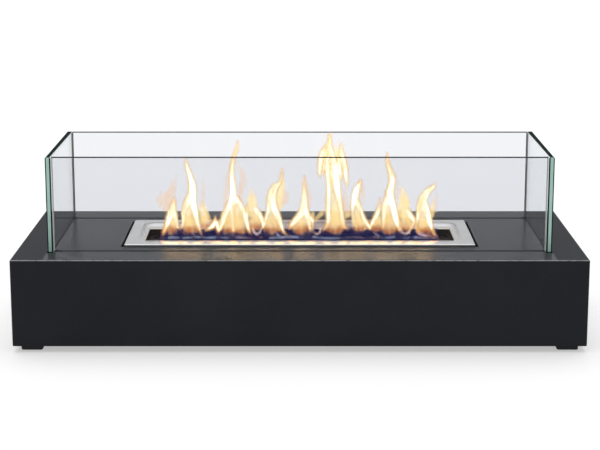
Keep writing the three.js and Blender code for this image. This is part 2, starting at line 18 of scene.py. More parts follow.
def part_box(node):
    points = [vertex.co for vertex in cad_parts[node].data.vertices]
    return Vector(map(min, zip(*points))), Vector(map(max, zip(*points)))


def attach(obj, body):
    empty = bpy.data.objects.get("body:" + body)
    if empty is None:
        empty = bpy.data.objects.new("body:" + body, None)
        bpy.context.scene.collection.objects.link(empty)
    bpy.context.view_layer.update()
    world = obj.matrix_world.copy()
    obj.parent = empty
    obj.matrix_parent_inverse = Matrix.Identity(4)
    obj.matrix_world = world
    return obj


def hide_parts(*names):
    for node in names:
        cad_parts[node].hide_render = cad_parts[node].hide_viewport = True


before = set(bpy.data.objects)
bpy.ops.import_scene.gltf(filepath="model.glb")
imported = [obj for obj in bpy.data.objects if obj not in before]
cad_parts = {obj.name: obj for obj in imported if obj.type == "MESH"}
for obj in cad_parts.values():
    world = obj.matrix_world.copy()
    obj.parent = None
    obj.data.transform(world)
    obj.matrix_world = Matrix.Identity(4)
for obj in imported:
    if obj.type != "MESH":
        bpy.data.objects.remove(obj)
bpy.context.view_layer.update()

bl_info = {
    "name": "Tabletop Fireplace",
    "version": (1, 0, 0),
    "blender": (4, 5, 0),
    "location": "View3D > Sidebar > Fireplace",
    "description": "Builds the housing, glass, burner and flames of a tabletop bioethanol fireplace",
    "category": "Add Mesh",
}

MM = 0.001

housing_low, housing_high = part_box("housing")
front_pane_low, front_pane_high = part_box("pane_front")
right_pane_low, right_pane_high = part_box("pane_right")
tray_low, tray_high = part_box("burner_tray")
tank_low, tank_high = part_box("fuel_tank")
screen_low, screen_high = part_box("wick_screen")
base_low, base_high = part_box("base_plate")

PLACES = ("front", "back", "left", "right")
CORNERS = ("front_left", "front_right", "back_left", "back_right")
# The base plate has six brackets and six screws, numbered from 1.
SIX = range(1, 7)
VENTS_IN_ROW = 7
SCREEN_SLOTS, SCREEN_ROWS = 13, 3
# Round ends are this much under a half circle, so that their two arcs share no point.
SLIVER = 0.001 * MM

# ------------------------------------------------------------------ settings


def distance(name, description, default):
    return FloatProperty(
        name=name,
        description=description,
        default=default,
        min=0.0,
        precision=5,
        subtype="DISTANCE",
        unit="LENGTH",
    )


def share(name, description, default):
    return FloatProperty(
        name=name, description=description, default=default, min=0.0, max=1.0, subtype="FACTOR"
    )


def amount(name, description, default):
    return FloatProperty(name=name, description=description, default=default, min=0.0)


def colour(name, description, default):
    return FloatVectorProperty(
        name=name, description=description, default=default, size=3, min=0.0, max=1.0, subtype="COLOR"
    )


class HousingSizes(PropertyGroup):
    half_length: distance("Half length", "Middle to an end wall", housing_high.x)
    half_depth: distance("Half depth", "Middle to the front wall", housing_high.y)
    wall_foot: distance("Wall foot", "Height of the walls' lower edge", housing_low.z)
    deck: distance("Deck", "Height of the deck's top face", housing_high.z)
    sheet: distance("Sheet", "Thickness of the steel sheet", 1.5 * MM)
    fold: distance("Fold", "Outside radius of the folds round the deck", 2.0 * MM)
    inner_fold: distance("Inner fold", "Inside radius of the folds and corners", 0.5 * MM)
    corner: distance("Corner", "Outside radius of the upright corners", 2.6 * MM)
    rim: distance("Rim", "Rounding of cut edges under the coating", 0.35 * MM)
    end_gap: distance("End gap", "Burner flange to the cut-out at its ends", 2.9 * MM)
    long_gap: distance("Long gap", "Burner flange to the cut-out at front and back", 0.7 * MM)
    clearance: distance("Slot clearance", "Glass to the slot's edge", 0.3 * MM)
    overrun: distance("Slot overrun", "Side slots past the ends of their panes", 6.0 * MM)
    slot_corner: distance("Slot corner", "Radius of a slot's corners", 0.3 * MM)
    base_rim: distance("Base rim", "Rounding of the base plate's edges", 0.2 * MM)
    screw_hole: distance("Screw hole", "Radius of the base plate's screw holes", 2.2 * MM)
    vent_length: distance("Vent length", "Middle of a vent slot to its end", 18.0 * MM)
    vent_width: distance("Vent width", "Middle of a vent slot to its side", 2.5 * MM)
    vent_pitch: distance("Vent pitch", "One vent slot to the next", 60.0 * MM)
    vent_row: distance("Vent row", "Middle of the base plate to a row of vents", 62.0 * MM)


class GlassSizes(PropertyGroup):
    notch: distance("Notch", "Cut off the lower corners of the long panes", 3.0 * MM)
    reach: distance("Reach", "Long panes past their solids, almost to the side panes", 1.1 * MM)
    lift: distance("Shoulder gap", "Shoulder of a notch above the deck", 0.3 * MM)
    arris: distance("Arris", "Ground edge round the glass", 0.4 * MM)
    side_arris: distance("Side arris", "Ground edge up the front ends of the side panes", 1.4 * MM)
    # The pale finish on these edges paints a highlight line.
    end_arris: distance("End arris", "Polished edge up the ends of the front pane", 1.0 * MM)
    top_arris: distance("Top arris", "Polished edge along the top of the side panes", 0.9 * MM)
    least_upright: distance("Least upright", "Shortest edge that counts as an upright", 24.0 * MM)
    least_top: distance("Least top", "Shortest edge that counts as a long top edge", 48.0 * MM)


class BurnerSizes(PropertyGroup):
    sheet: distance("Sheet", "Thickness of the pressed tray", 1.2 * MM)
    corner: distance("Flange corner", "Radius of the flange's corners", 1.6 * MM)
    edge: distance("Flange edge", "Radius of the flange's turned-down edge", 1.7 * MM)
    skirt: distance("Skirt", "Height of the flange's turned-down edge", 2.6 * MM)
    border: distance("Border", "Flat border round the recess", 12.0 * MM)
    hold: distance("Hold", "Strip that keeps the border flat beside its bends", 0.2 * MM)
    recess_corner: distance("Recess corner", "Radius of the recess's corners", 13.0 * MM)
    end_run: distance("End slope", "Length of the slope at the ends", 7.9 * MM)
    side_run: distance("Side slope", "Length of the slope at front and back", 21.1 * MM)
    drop: distance("Drop", "Depth of the recess", 3.2 * MM)
    bend: share("Bend", "Share of the slope's run taken by each bend", 0.16)
    mouth_corner: distance("Mouth corner", "Radius of the mouth's corners", 2.2 * MM)
    lip: distance("Lip", "Radius where the slope turns down into the mouth", 0.5 * MM)
    tank_corner: distance("Tank corner", "Radius of the tank's upright corners", 4.0 * MM)
    tank_floor: distance("Tank floor", "Radius round the tank's floor", 3.0 * MM)
    bead: distance("Weld bead", "How far the weld under the tray stands out", 0.7 * MM)
    bead_width: distance("Bead width", "Width of the weld", 1.9 * MM)
    bead_rise: distance("Bead rise", "How far the weld runs up onto the tray", 0.4 * MM)
    slot_length: distance("Slot length", "Middle of a screen slot to its end", 8.5 * MM)
    slot_width: distance("Slot width", "Middle of a screen slot to its side", 2.5 * MM)
    screen_rim: distance("Screen rim", "Rounding of the screen's slots", 0.2 * MM)


class FittingSizes(PropertyGroup):
    foot_edge: distance("Foot edge", "Rounding round a foot's sole", 1.2 * MM)
    foot_crown: distance("Foot crown", "Rounding round a foot's top", 0.4 * MM)
    foot_ledge: distance("Foot ledge", "Sole to the ledge under the screw's head", 3.6 * MM)
    foot_bore: distance("Foot bore", "Radius of a foot's screw hole", 2.2 * MM)
    foot_sink: distance("Foot sink", "Radius of the sunk hole for the head", 4.8 * MM)
    head: distance("Head", "Radius of a screw's head", 4.0 * MM)
    head_height: distance("Head height", "Height of a screw's head", 2.4 * MM)
    dome: distance("Dome", "Rounding of a screw's head", 1.44 * MM)
    socket: distance("Socket", "Socket across its flats", 2.5 * MM)
    socket_depth: distance("Socket depth", "Depth of the socket", 1.3 * MM)
    crest: distance("Crest", "Radius over the thread", 1.95 * MM)
    root: distance("Root", "Radius under the thread", 1.7 * MM)
    point: distance("Point", "Radius lost at a screw's end", 0.25 * MM)
    pitch: distance("Pitch", "One turn of the thread", 0.7 * MM)
    nut_bore: distance("Nut bore", "Radius of a nut's thread", 2.1 * MM)
    nut_collar: distance("Nut collar", "Radius of a nut's flat face", 3.45 * MM)
    nut_flats: distance("Nut flats", "Nut across its flats", 7.0 * MM)
    nut_chamfer: distance("Nut chamfer", "Height of a nut's chamfer", 0.35 * MM)


class FlameShape(PropertyGroup):
    grid: distance("Grid", "Spacing of the grid that the flames are skinned on", 1.0 * MM)
    blend: distance("Blend", "How softly strands run into each other", 0.9 * MM)
    deepening: amount("Deepening", "How much deeper than wide a flame is", 1.5)
    point: distance("Point", "A strand that ends thinner than this has a tip", 1.2 * MM)
    hollow_point: distance("Hollow point", "The same for a hollow", 2.2 * MM)
    heart_inset: distance("Heart inset", "Unit of depth inside the flame's surface", 0.75 * MM)
    glow: distance("Glow", "Unit of height outside the flame's surface", 1.0 * MM)
    brightness: amount("Brightness", "Strength of the flames' light", 1.0)
    foot_length: distance("Foot length", "Middle of the low gas to its end", 151.0 * MM)
    foot_depth: distance("Foot depth", "Middle of the low gas to its front", 24.0 * MM)
    foot_sunk: distance("Foot sunk", "How far the low gas reaches under the deck", 3.0 * MM)
    foot_rise: distance("Foot rise", "Height kept for the waves of the low gas", 7.0 * MM)


class StudioSettings(PropertyGroup):
    camera_place: FloatVectorProperty(
        name="Camera place",
        description="Where the camera stands",
        default=(0.00025, -1.76911, 0.49473),
        size=3,
        subtype="TRANSLATION",
        unit="LENGTH",
    )
    camera_tilt: FloatProperty(
        name="Camera tilt",
        description="Angle of view below the horizon",
        default=math.radians(12.29),
        subtype="ANGLE",
        unit="ROTATION",
    )
    lens: FloatProperty(
        name="Lens",
        description="Focal length",
        default=98.344,
        min=1.0,
        subtype="DISTANCE_CAMERA",
        unit="CAMERA",
    )
    floor: distance("Floor", "Middle of the floor to its edge", 12.0)
    sky: amount("Soft light", "Level of the light from all round", 0.5)
    key: amount("Top lamp", "Strength of the lamp overhead", 1.3)
    rear: amount("Front lamp", "Strength of the lamp in front", 0.35)


class FinishColours(PropertyGroup):
    coat: colour("Powder coat", "Matt black coating", (0.0225, 0.0238, 0.0282))
    # Coat rubbed thin along an edge, and a painted highlight along the housing's folds.
    coat_worn_and_lit: colour("Worn and lit coat", "Coating rubbed thin along an edge", (0.34, 0.34, 0.35))
    dust: colour("Dust", "Dust that has settled", (0.30, 0.29, 0.28))
    steel: colour("Stainless steel", "Brushed stainless steel", (0.66, 0.645, 0.615))
    steel_streak: colour("Steel streaks", "Darker streaks of the brushing", (0.50, 0.49, 0.475))
    # Painted shade: a dark reflection painted on the tray's bends.
    steel_bend_shade: colour("Steel bends", "Dark sheen where the steel is bent", (0.15, 0.145, 0.14))
    # Painted highlight: a bright reflection painted on the recess's back corners.
    steel_painted_highlight: colour("Steel highlight", "Bright sheen at the back corners", (0.97, 0.96, 0.94))
    straw: colour("Heat tint", "Straw tint where the flames heat the steel", (0.60, 0.50, 0.36))
    # Near black down inside the mouth, below its lip.
    mouth_black: colour("Mouth black", "Near black in the mouth", (0.012, 0.010, 0.009))
    glass: colour("Glass", "Tint of the glass", (0.870, 0.868, 0.892))
    glass_depth: colour("Glass depth", "What a long way through the glass leaves", (0.56, 0.77, 0.70))
    flame_white: colour("Flame white", "Heart of a flame", (1.0, 0.99, 0.92))
    flame_yellow: colour("Flame yellow", "Surface of a flame", (1.0, 0.80, 0.36))
    flame_orange: colour("Flame orange", "Tips and glow of a flame", (0.96, 0.50, 0.15))
    flame_brown: colour("Flame brown", "Cooler gas low in a flame", (0.42, 0.14, 0.06))
    flame_blue: colour("Flame blue", "Foot of the flames", (0.009, 0.010, 0.050))


def scene():
    return bpy.context.scene


# ------------------------------------------------------------------ mesh making


def middle(low, high):
    """Middle of a box, seen from above."""
    return (low.x + high.x) / 2, (low.y + high.y) / 2


def rank(count):
    """Whole numbers with nought in the middle."""
    return range(-(count // 2), count // 2 + 1)


def rounded_outline(half_x, half_y, radius, steps):
    """Corners of a rounded rectangle, anticlockwise seen from above."""
    points = []
    for quarter, (side_x, side_y) in enumerate(((1, 1), (-1, 1), (-1, -1), (1, -1))):
        for i in range(steps + 1):
            angle = (quarter + i / steps) * math.pi / 2
            x = side_x * (half_x - radius) + radius * math.cos(angle)
            y = side_y * (half_y - radius) + radius * math.sin(angle)
            points.append((x, y))
    return points


def circle(radius, count):
    turns = [2 * math.pi * i / count for i in range(count)]
    return [(radius * math.cos(turn), radius * math.sin(turn)) for turn in turns]


def hexagon(flats, count):
    """A hexagon with count points, which lie at the same angles as those of a circle."""
    points = []
    for i in range(count):
        angle = 2 * math.pi * i / count
        reach = flats / 2 / math.cos((angle + math.pi / 6) % (math.pi / 3) - math.pi / 6)
        points.append((reach * math.cos(angle), reach * math.sin(angle)))
    return points


def ring(bm, outline, z, centre=(0.0, 0.0)):
    return [bm.verts.new((centre[0] + x, centre[1] + y, z)) for x, y in outline]


def bridge(bm, *rings):
    """Skins the rings in order. Going up, a skin faces outwards, and going down it faces inwards."""
    for first, second in zip(rings, rings[1:]):
        count = len(first)
        for i in range(count):
            j = (i + 1) % count
            bm.faces.new((first[i], first[j], second[j], second[i]))


def inside(point, outline):
    x, y = point
    within = False
    for (ax, ay), (bx, by) in zip(outline, outline[1:] + outline[:1]):
        if (ay > y) != (by > y) and x < ax + (y - ay) * (bx - ax) / (by - ay):
            within = not within
    return within


def fill(bm, outline, holes=(), up=True):
    """Closes a flat ring, leaving the holes open."""
    rings = [outline, *holes]
    verts = [vert for each in rings for vert in each]
    edges = []
    for each in rings:
        start = len(edges)
        edges += [(start + i, start + (i + 1) % len(each)) for i in range(len(each))]
    points, _, faces, origins, _, _ = delaunay_2d_cdt([v.co.xy for v in verts], edges, [], 0, 1e-9)
    shapes = [[tuple(v.co.xy) for v in hole] for hole in holes]
    for face in faces:
        centre = sum((points[i] for i in face), Vector((0.0, 0.0))) / len(face)
        if any(inside(centre, shape) for shape in shapes):
            continue
        corners = [verts[origins[i][0]] for i in face]
        bm.faces.new(corners if up else corners[::-1])


def quarter_turn(radius, steps):
    """Pairs of inset and rise from a side face to the face above it."""
    angles = [math.pi / 2 * i / steps for i in range(steps + 1)]
    return [(radius * (1 - math.cos(a)), radius * math.sin(a)) for a in angles]


def new_skin():
    """An empty bmesh with room for the edge mask: rubbed edges, painted highlights and painted shade."""
    bm = bmesh.new()
    bm.verts.layers.float.new("edge")
    return bm


def mark_edges(bm, worn_and_lit=()):
    """Sharp edges stay sharp, and given rings get the edge mask: rubbed edges and painted highlights."""
    bm.normal_update()
    for edge in bm.edges:
        if len(edge.link_faces) == 2 and edge.calc_face_angle() > math.radians(40):
            edge.smooth = False
    layer = bm.verts.layers.float["edge"]
    for each, value in worn_and_lit:
        for vert in each:
            vert[layer] = value


def finish_piece(bm, name, body, finishes, replaced, even=True):
    """Turns a bmesh into a piece that rides on its body and stands for the replaced solid."""
    bm.normal_update()
    for face in bm.faces:
        face.smooth = even
    mesh = bpy.data.meshes.new(name)
    bm.to_mesh(mesh)
    bm.free()
    for finish in finishes:
        mesh.materials.append(bpy.data.materials[finish])
    piece = bpy.data.objects.new(name, mesh)
    scene().collection.objects.link(piece)
    if even:
        shading = piece.modifiers.new("even_shading", "WEIGHTED_NORMAL")
        shading.keep_sharp = True
        shading.weight = 100
    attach(piece, body)
    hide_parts(replaced)
    return piece


def rimmed_holes(bm, outlines, top, underside, rim, steps=4):
    """Walls of holes through a sheet, with a small rounding at the top.

    Gives the rings at the top, in the middle of the rounding and at the underside."""
    tops, middles, undersides = [], [], []
    for half_x, half_y, radius, centre, corner_steps in outlines:
        rings = []
        for inset, rise in reversed(quarter_turn(rim, steps)):
            outline = rounded_outline(half_x + inset, half_y + inset, radius + inset, corner_steps)
            rings.append(ring(bm, outline, top - rim + rise, centre))
        outline = rounded_outline(half_x, half_y, radius, corner_steps)
        rings.append(ring(bm, outline, underside, centre))
        bridge(bm, *rings)
        tops.append(rings[0])
        middles.append(rings[steps // 2])
        undersides.append(rings[-1])
    return tops, middles, undersides


# ------------------------------------------------------------------ strands of flame

# Strands run foot first, in millimetres. Each point is across, back, above the deck and half the strand's
# width. The points of the bright flames, yellow flames, faint haze and hollows were read by eye off an
# enlarged photograph, and a separate script turned them into millimetres and rounded them. A few were
# added or moved since.
# The brownish haze, threads and curls were set out one by one.

# The bright flames.
HOT_STRANDS = (
    ((-150.5, -17, -1, 0.4), (-149, -12.5, 5.5, 1.7), (-146, -7.5, 12, 2.7), (-143.5, -4, 18.5, 3.6),
     (-141, -4, 25, 4.2), (-139.5, -4, 31.5, 3.2), (-138, -4, 37, 1.7), (-137.5, -4, 42, 0.3)),
    ((-133, 12, 1.2, 1.7), (-135.5, 8, 5.5, 1.9), (-136.5, -0.5, 13.5, 2.3), (-138, -2, 21.5, 3),
     (-139, -2, 28, 2.7)),
    ((-133, 12, 1.2, 1.7), (-130, 9, 7.5, 1.6), (-129, 5.5, 14.5, 1.9), (-128.5, 2, 23, 2.5),
     (-126, 2, 29.5, 3.4), (-123, 2, 36, 3.8), (-120.5, 2, 42, 3.8)),
    ((-107, -14, -0.1, 0.7), (-110, -11, 7.5, 1.7), (-112.5, -8, 15.5, 2.7), (-114.5, -5, 23.5, 3.4),
     (-116.5, -2.5, 30.5, 3.8), (-118, 0, 38.5, 4.2), (-118, 0, 47, 4.4), (-118, 0, 54.5, 4),
     (-119.5, 0, 61, 3.2), (-121, 0, 67.5, 2.7), (-123, 0, 72.5, 2.3), (-124, 0, 78, 1.7),
     (-125, 0, 85, 0.4)),
    ((-105, 2, 2.1, 0.6), (-101, 1, 5, 1.6), (-96.5, 0.5, 8.5, 2.7), (-93.5, 0, 12.5, 2.5),
     (-93, 0, 19.5, 0.3)),
    ((-89.5, 0, -0.5, 1.3), (-90, 0, 6, 2.5), (-91.5, 0, 11.5, 2.5), (-93, 0, 14.5, 1.3)),
    ((-91, 2, -0.4, 1.5), (-87.5, 1.5, 6.5, 2.5), (-85, 0.5, 14, 3), (-82.5, 0, 22, 3), (-79, 0, 29, 3.2),
     (-75.5, 0, 36, 3.4), (-74, 0, 42.5, 3.6)),
    ((-73, -8, 0.2, 1.1), (-73, -6.5, 7.5, 2.5), (-73.5, -5.5, 16, 2.5), (-74, -4, 24, 2.7),
     (-73.5, -2.5, 32.5, 3.6), (-73, -1, 40.5, 4.2), (-73.5, 0, 48, 3.8), (-74, 0, 55.5, 3.2),
     (-74.5, 0, 63, 2.7), (-74.5, 0, 70.5, 2.3), (-74, 0, 77, 2), (-73, 0, 82.5, 1.7), (-71.5, 0, 88, 1.5),
     (-69.5, 0, 93, 1.4), (-68, 0, 98, 1.2), (-68, 0, 103.5, 0.3)),
    ((-54, -6, 0.3, 1), (-57, -2.5, 7, 2.1), (-59, 0.5, 14, 3), (-61, 2, 20.5, 2.7), (-63, 2, 27, 2.5),
     (-66.5, 2, 33.5, 2.7), (-70, 2, 39, 3.2)),
    ((-58.5, 4, 15, 2.1), (-58.5, 4, 21.5, 1.9), (-58, 4, 27, 1.1), (-57.5, 4, 33.5, 0.3)),
    ((-41.5, 12, 1.8, 1.7), (-40.5, 9, 8.5, 2.3), (-42, 6, 15, 2.5), (-45, 6, 20.5, 3), (-48, 6, 25, 3),
     (-50, 6, 28.5, 1.7)),
    ((-39.5, 10, 7, 1.7), (-37.5, 6.5, 16.5, 1.9), (-35, 4, 24.5, 2.3), (-33.5, 4, 32, 3),
     (-32.5, 4, 39.5, 3.4)),
    ((-8.5, -20, -0.5, 0.4), (-13, -19, 1, 0.8), (-17.5, -16.5, 5.5, 1.5), (-20.5, -12.5, 11.5, 2.5),
     (-23.5, -8, 18.5, 3.4), (-26.5, -3.5, 25.5, 3.8), (-29.5, 0, 31, 4.4), (-31, 0, 38, 4.9),
     (-30, 0, 46, 4.4), (-27, 0, 52.5, 3.6), (-22.5, 0, 56.5, 2.1), (-20, 0, 62, 1.5),
     (-19.5, 0, 68.5, 1.1), (-19.5, 0, 74, 0.3)),
    ((-12, 6, 5, 0.8), (-8.5, 4, 9.5, 2.5), (-3.5, 1.5, 15.5, 3.4), (0.5, 0, 21, 3.6), (3.5, 0, 26.5, 3.8),
     (4.5, 0, 33, 3.6)),
    ((12, -4, 1, 0.8), (11, -3, 7, 1.9), (10, -2, 14, 3), (8, -1, 21, 3.6), (5.5, -0.5, 26.5, 4),
     (5, 0, 34, 3.6), (5, 0, 41.5, 3), (5, 0, 49, 2.1), (5, 0, 56.5, 1.3), (5, 0, 65, 0.3)),
    ((18.5, -2, -0.6, 0.6), (15.5, -0.5, 2.1, 0.8), (14, 2, 8, 1.3), (14, 2, 14.5, 1.9),
     (11.5, 2, 18.5, 2.1)),
    ((18.5, -2, -0.6, 0.6), (22.5, 1, 0.6, 0.7), (26.5, 6, 2.8, 0.8), (30, 6, 8.5, 1.5)),
    ((29, 6, 5, 0.8), (31, 5.5, 10, 1.7), (32, 4.5, 17, 2.5), (31.5, 3.5, 26, 2.7), (31.5, 2.5, 36, 2.7),
     (32, 2, 46.5, 2.5), (32, 2, 57.5, 2.7), (31.5, 2, 66, 3.4), (31, 2, 74.5, 4), (31.5, 2, 83, 4.2)),
    ((52.5, 4, 4, 1), (49, 3.5, 7.5, 1.7), (47, 3, 14, 2.3), (46, 2.5, 23, 2.5), (44.5, 2, 30.5, 2.7),
     (43, 1.5, 38, 3.2), (41.5, 0.5, 47, 3.8), (40.5, 0, 54.5, 4.2), (39.5, 0, 62, 4.9),
     (38, 0, 69.5, 5.5), (36.5, 0, 77, 5.7), (35, 0, 84.5, 5.3), (33.5, 0, 91, 4.2), (32.5, 0, 97, 3.2),
     (32.5, 0, 103.5, 2.3), (32.5, 0, 110, 1.6), (32.5, 0, 111, 0.3)),
    ((22.5, 2, 64, 0.4), (22, 1.5, 69, 2.1), (23, 0.5, 76, 3.2), (24, 0, 83.5, 3.8), (25.5, 0, 91, 3),
     (27.5, 0, 96.5, 1.3), (28, 0, 101, 0.3)),
    ((52, 2, 51.5, 0.4), (51.5, 2, 57.5, 1.5), (50.5, 2, 65, 2.5), (49, 2, 73.5, 3.4), (47.5, 2, 81, 3.6),
     (46, 2, 88, 3), (45.5, 2, 94, 1.8), (45.5, 2, 101.5, 0.3)),
    ((26, 2, 68, 0.8), (26, 1, 76, 2.2), (27, 0, 86, 2.6), (28.5, 0, 94, 1.4)),
    ((46, 1, 60, 0.6), (44.5, 1, 68, 2.2), (43, 1, 77, 2.6), (42.5, 1, 86, 1.8)),
    ((67.5, 0, 4, 0.5), (62.5, 0, 8, 0.8), (59.5, 0, 13.5, 1.2), (58.5, 0, 22.5, 1.5), (58.5, 0, 31, 2.3),
     (60, 0, 37.5, 3.6), (61, 0, 44, 4), (62.5, 0, 49.5, 3.8), (64.5, 0, 54.5, 2.7), (67.5, 0, 60.5, 0.5)),
    ((78.5, 8, 3.5, 1.3), (76, 6.5, 7.5, 2.5), (72.5, 5, 12, 2.7), (69, 2, 19, 2.7), (66.5, 2, 25.5, 3),
     (64, 2, 31.5, 3.4), (62, 2, 37, 3)),
    ((78, 8, 4.5, 1.5), (80.5, 6.5, 11, 2.3), (84, 4.5, 18, 2.5), (86.5, 4, 24, 2.5), (88, 4, 31, 1.3),
     (88.5, 4, 39.5, 0.3)),
    ((91.5, 4, 3.5, 0.7), (92.5, 3, 10.5, 1.7), (92.5, 2, 18, 2.3), (93, 2, 25.5, 3), (94.5, 2, 32.5, 3.6),
     (97, 2, 38.5, 4.2)),
    ((111, -6, 0.4, 0.5), (110, -5, 5.5, 1.4), (107.5, -4.5, 12, 2.7), (105.5, -3.5, 18, 3.6),
     (104, -2.5, 25.5, 3.6), (102, -1, 33.5, 3.8), (99.5, 0, 39.5, 4.7), (99, 0, 45.5, 4.4),
     (100.5, 0, 52.5, 3.6), (101.5, 0, 59, 3.2), (101, 0, 65.5, 3), (99, 0, 71, 2.6), (97, 0, 77, 2),
     (96, 0, 83, 1.5), (95.5, 0, 90.5, 0.3)),
    ((116, -8, 1.2, 0.7), (113, -3, 2.6, 1), (111.5, 6, 7, 1.3), (110, 6, 13.5, 1.7)),
    ((116, -8, 1.2, 0.7), (120.5, -4, 3.5, 1), (123.5, 2.5, 7.5, 1.5), (127, 6, 12, 1.9),
     (126, 6, 15, 2.5), (122.5, 6, 19, 2.7), (119.5, 6, 24, 3)),
    ((150.5, -22, 0.3, 0.3), (141.5, -20.5, 2.1, 0.5), (134, -18, 4.5, 0.6), (129.5, -16, 6.5, 0.8),
     (128, -11.5, 11.5, 1.2), (129, -6.5, 16.5, 1.7), (131, -1, 22.5, 2.5), (132.5, 0, 29, 3.4),
     (134.5, 0, 35.5, 4.2), (136.5, 0, 41, 4.4), (139.5, 0, 46.5, 3.6), (143.5, 0, 50, 2.7),
     (147, 0, 53, 2.1), (149, 0, 58, 0.4)),
    ((150.5, -22, 0.1, 0.4), (147, -16.5, 3.5, 1), (145, -8.5, 8, 2), (143, 0, 13.5, 3.2),
     (141, 0, 21.5, 3.8), (138.5, 0, 28.5, 4.2), (136.5, 0, 34.5, 4.2)),
)

# Yellow flames without a white heart.
WARM_STRANDS = (
    ((-98.5, 14, 8.5, 0.7), (-101.5, 9.5, 16.5, 1.2), (-104.5, 6, 25.5, 1.5), (-107, 6, 30.5, 1.7),
     (-108.5, 6, 37, 0.5)),
    ((-113, 14, 15, 1.3), (-111, 6, 24, 1.5), (-108.5, 6, 30.5, 1.3)),
    ((-56, 10, 20, 2.7), (-54.5, 9, 25.5, 4.9), (-52.5, 8.5, 31.5, 5.3), (-53, 8, 38, 4),
     (-53, 8, 45.5, 1.5), (-53, 8, 49.5, 0.3)),
    ((-22, 6, 29.5, 1.7), (-22.5, 5, 37.5, 2.7), (-21.5, 4, 45, 3.4), (-19.5, 4, 51.5, 2.3),
     (-18.5, 4, 58, 1.5)),
    ((-1.5, 4, 0.8, 1.1), (-3.5, 0, 6, 2.3), (-7.5, 0, 7, 1.7)),
    ((14, 0, 19, 1.3), (14.5, 2, 25, 0.4)),
    ((16.5, 14, 11.5, 0.5), (20, 11.5, 16, 1.1), (24.5, 10, 21.5, 1.5), (28, 10, 27, 0.5)),
    ((32.5, 4, 9.5, 1), (34.5, 3, 16, 1.5), (36, 2.5, 23.5, 1.7), (37.5, 2, 30.5, 1.9), (39, 2, 38, 2.1),
     (41, 2, 46.5, 2.3)),
    ((41.5, -1, 76, 0.8), (41.5, -1, 84, 2.6), (40.5, -1, 92, 2.4), (39, -1, 99, 0.9)),
    ((35.5, -9, 40, 0.4), (35, -10, 52, 1.5), (34.5, -10, 62, 1.9), (34, -10, 72, 1.4), (35, -9, 80, 0.4)),
    ((51, 16, 15.5, 1.1), (53.5, 14, 19, 2.5), (57, 14, 20, 1.5), (57.5, 14, 22, 0.3)),
    ((112.5, 8, 19.5, 3.6), (114, 8, 26, 5.3), (115.5, 8, 32.5, 5.5), (114.5, 8, 39, 4.4),
     (113.5, 8, 45.5, 2.7), (113, 8, 53, 0.4)),
    ((146.5, 4, 19.5, 0.8), (146.5, 2.5, 26, 1.3), (147, 2, 32.5, 1.1), (148, 2, 39, 0.3)),
)

# Faint haze of hot gas beside the flames.
VEIL_STRANDS = (
    ((-148.5, 6, 28.5, 4.2), (-146, 5, 35, 6.6), (-144, 4.5, 43, 5.3), (-140, 4, 50.5, 3.6),
     (-138, 4, 58, 2.3), (-136.5, 4, 65.5, 0.6)),
    ((-154, 8, 30, 2.5), (-153.5, 4.5, 37.5, 4.9), (-152.5, 4, 44, 2.5), (-151, 4, 47, 0.6)),
    ((-66, 6, 38, 2.1), (-65, 4.5, 46, 3), (-64, 3.5, 53, 3.6), (-61.5, 2, 59.5, 3.4), (-62.5, 2, 66, 3),
     (-65.5, 2, 72.5, 2.3), (-69, 2, 78.5, 1.5), (-70.5, 2, 84, 0.6)),
    ((-82, 4, 30, 2.7), (-81.5, 3, 40, 2.5), (-81, 2, 50, 2.1), (-80.5, 2, 59.5, 1.7), (-79.5, 2, 68, 1.5),
     (-77.5, 2, 75.5, 0.8)),
    ((-107, 6, 30.5, 1.7), (-106.5, 3, 42, 2.1), (-106, 2, 53, 1.5), (-106.5, 2, 63.5, 0.5)),
    ((-19.5, 2, 32.5, 2.1), (-16, 2, 38, 4.2), (-15, 2, 43.5, 3.4), (-16.5, 2, 48.5, 1.3)),
    ((10.5, 4, 30, 2.1), (10.5, 2.5, 40, 2.5), (9.5, 2, 49, 1.9), (8.5, 2, 57.5, 0.8)),
    ((52, 6, 24.5, 3.2), (50.5, 4.5, 33, 3.2), (49, 4, 42, 2.7), (49.5, 4, 48.5, 1.9), (52, 4, 52.5, 1.1)),
    ((69.5, 6, 33, 1.5), (69.5, 4.5, 42, 2.3), (69, 4, 49.5, 2.5), (67.5, 4, 57, 1.9),
     (65.5, 4, 61.5, 0.6)),
    ((107, 6, 39.5, 1.5), (107.5, 5, 49.5, 1.7), (106.5, 4, 59, 1.7), (104.5, 4, 67.5, 1.3),
     (102.5, 4, 74, 0.5)),
    ((150, 6, 24.5, 1.5), (150, 4.5, 33.5, 1.9), (150.5, 4, 42, 1.7), (151, 4, 49.5, 0.6)),
)

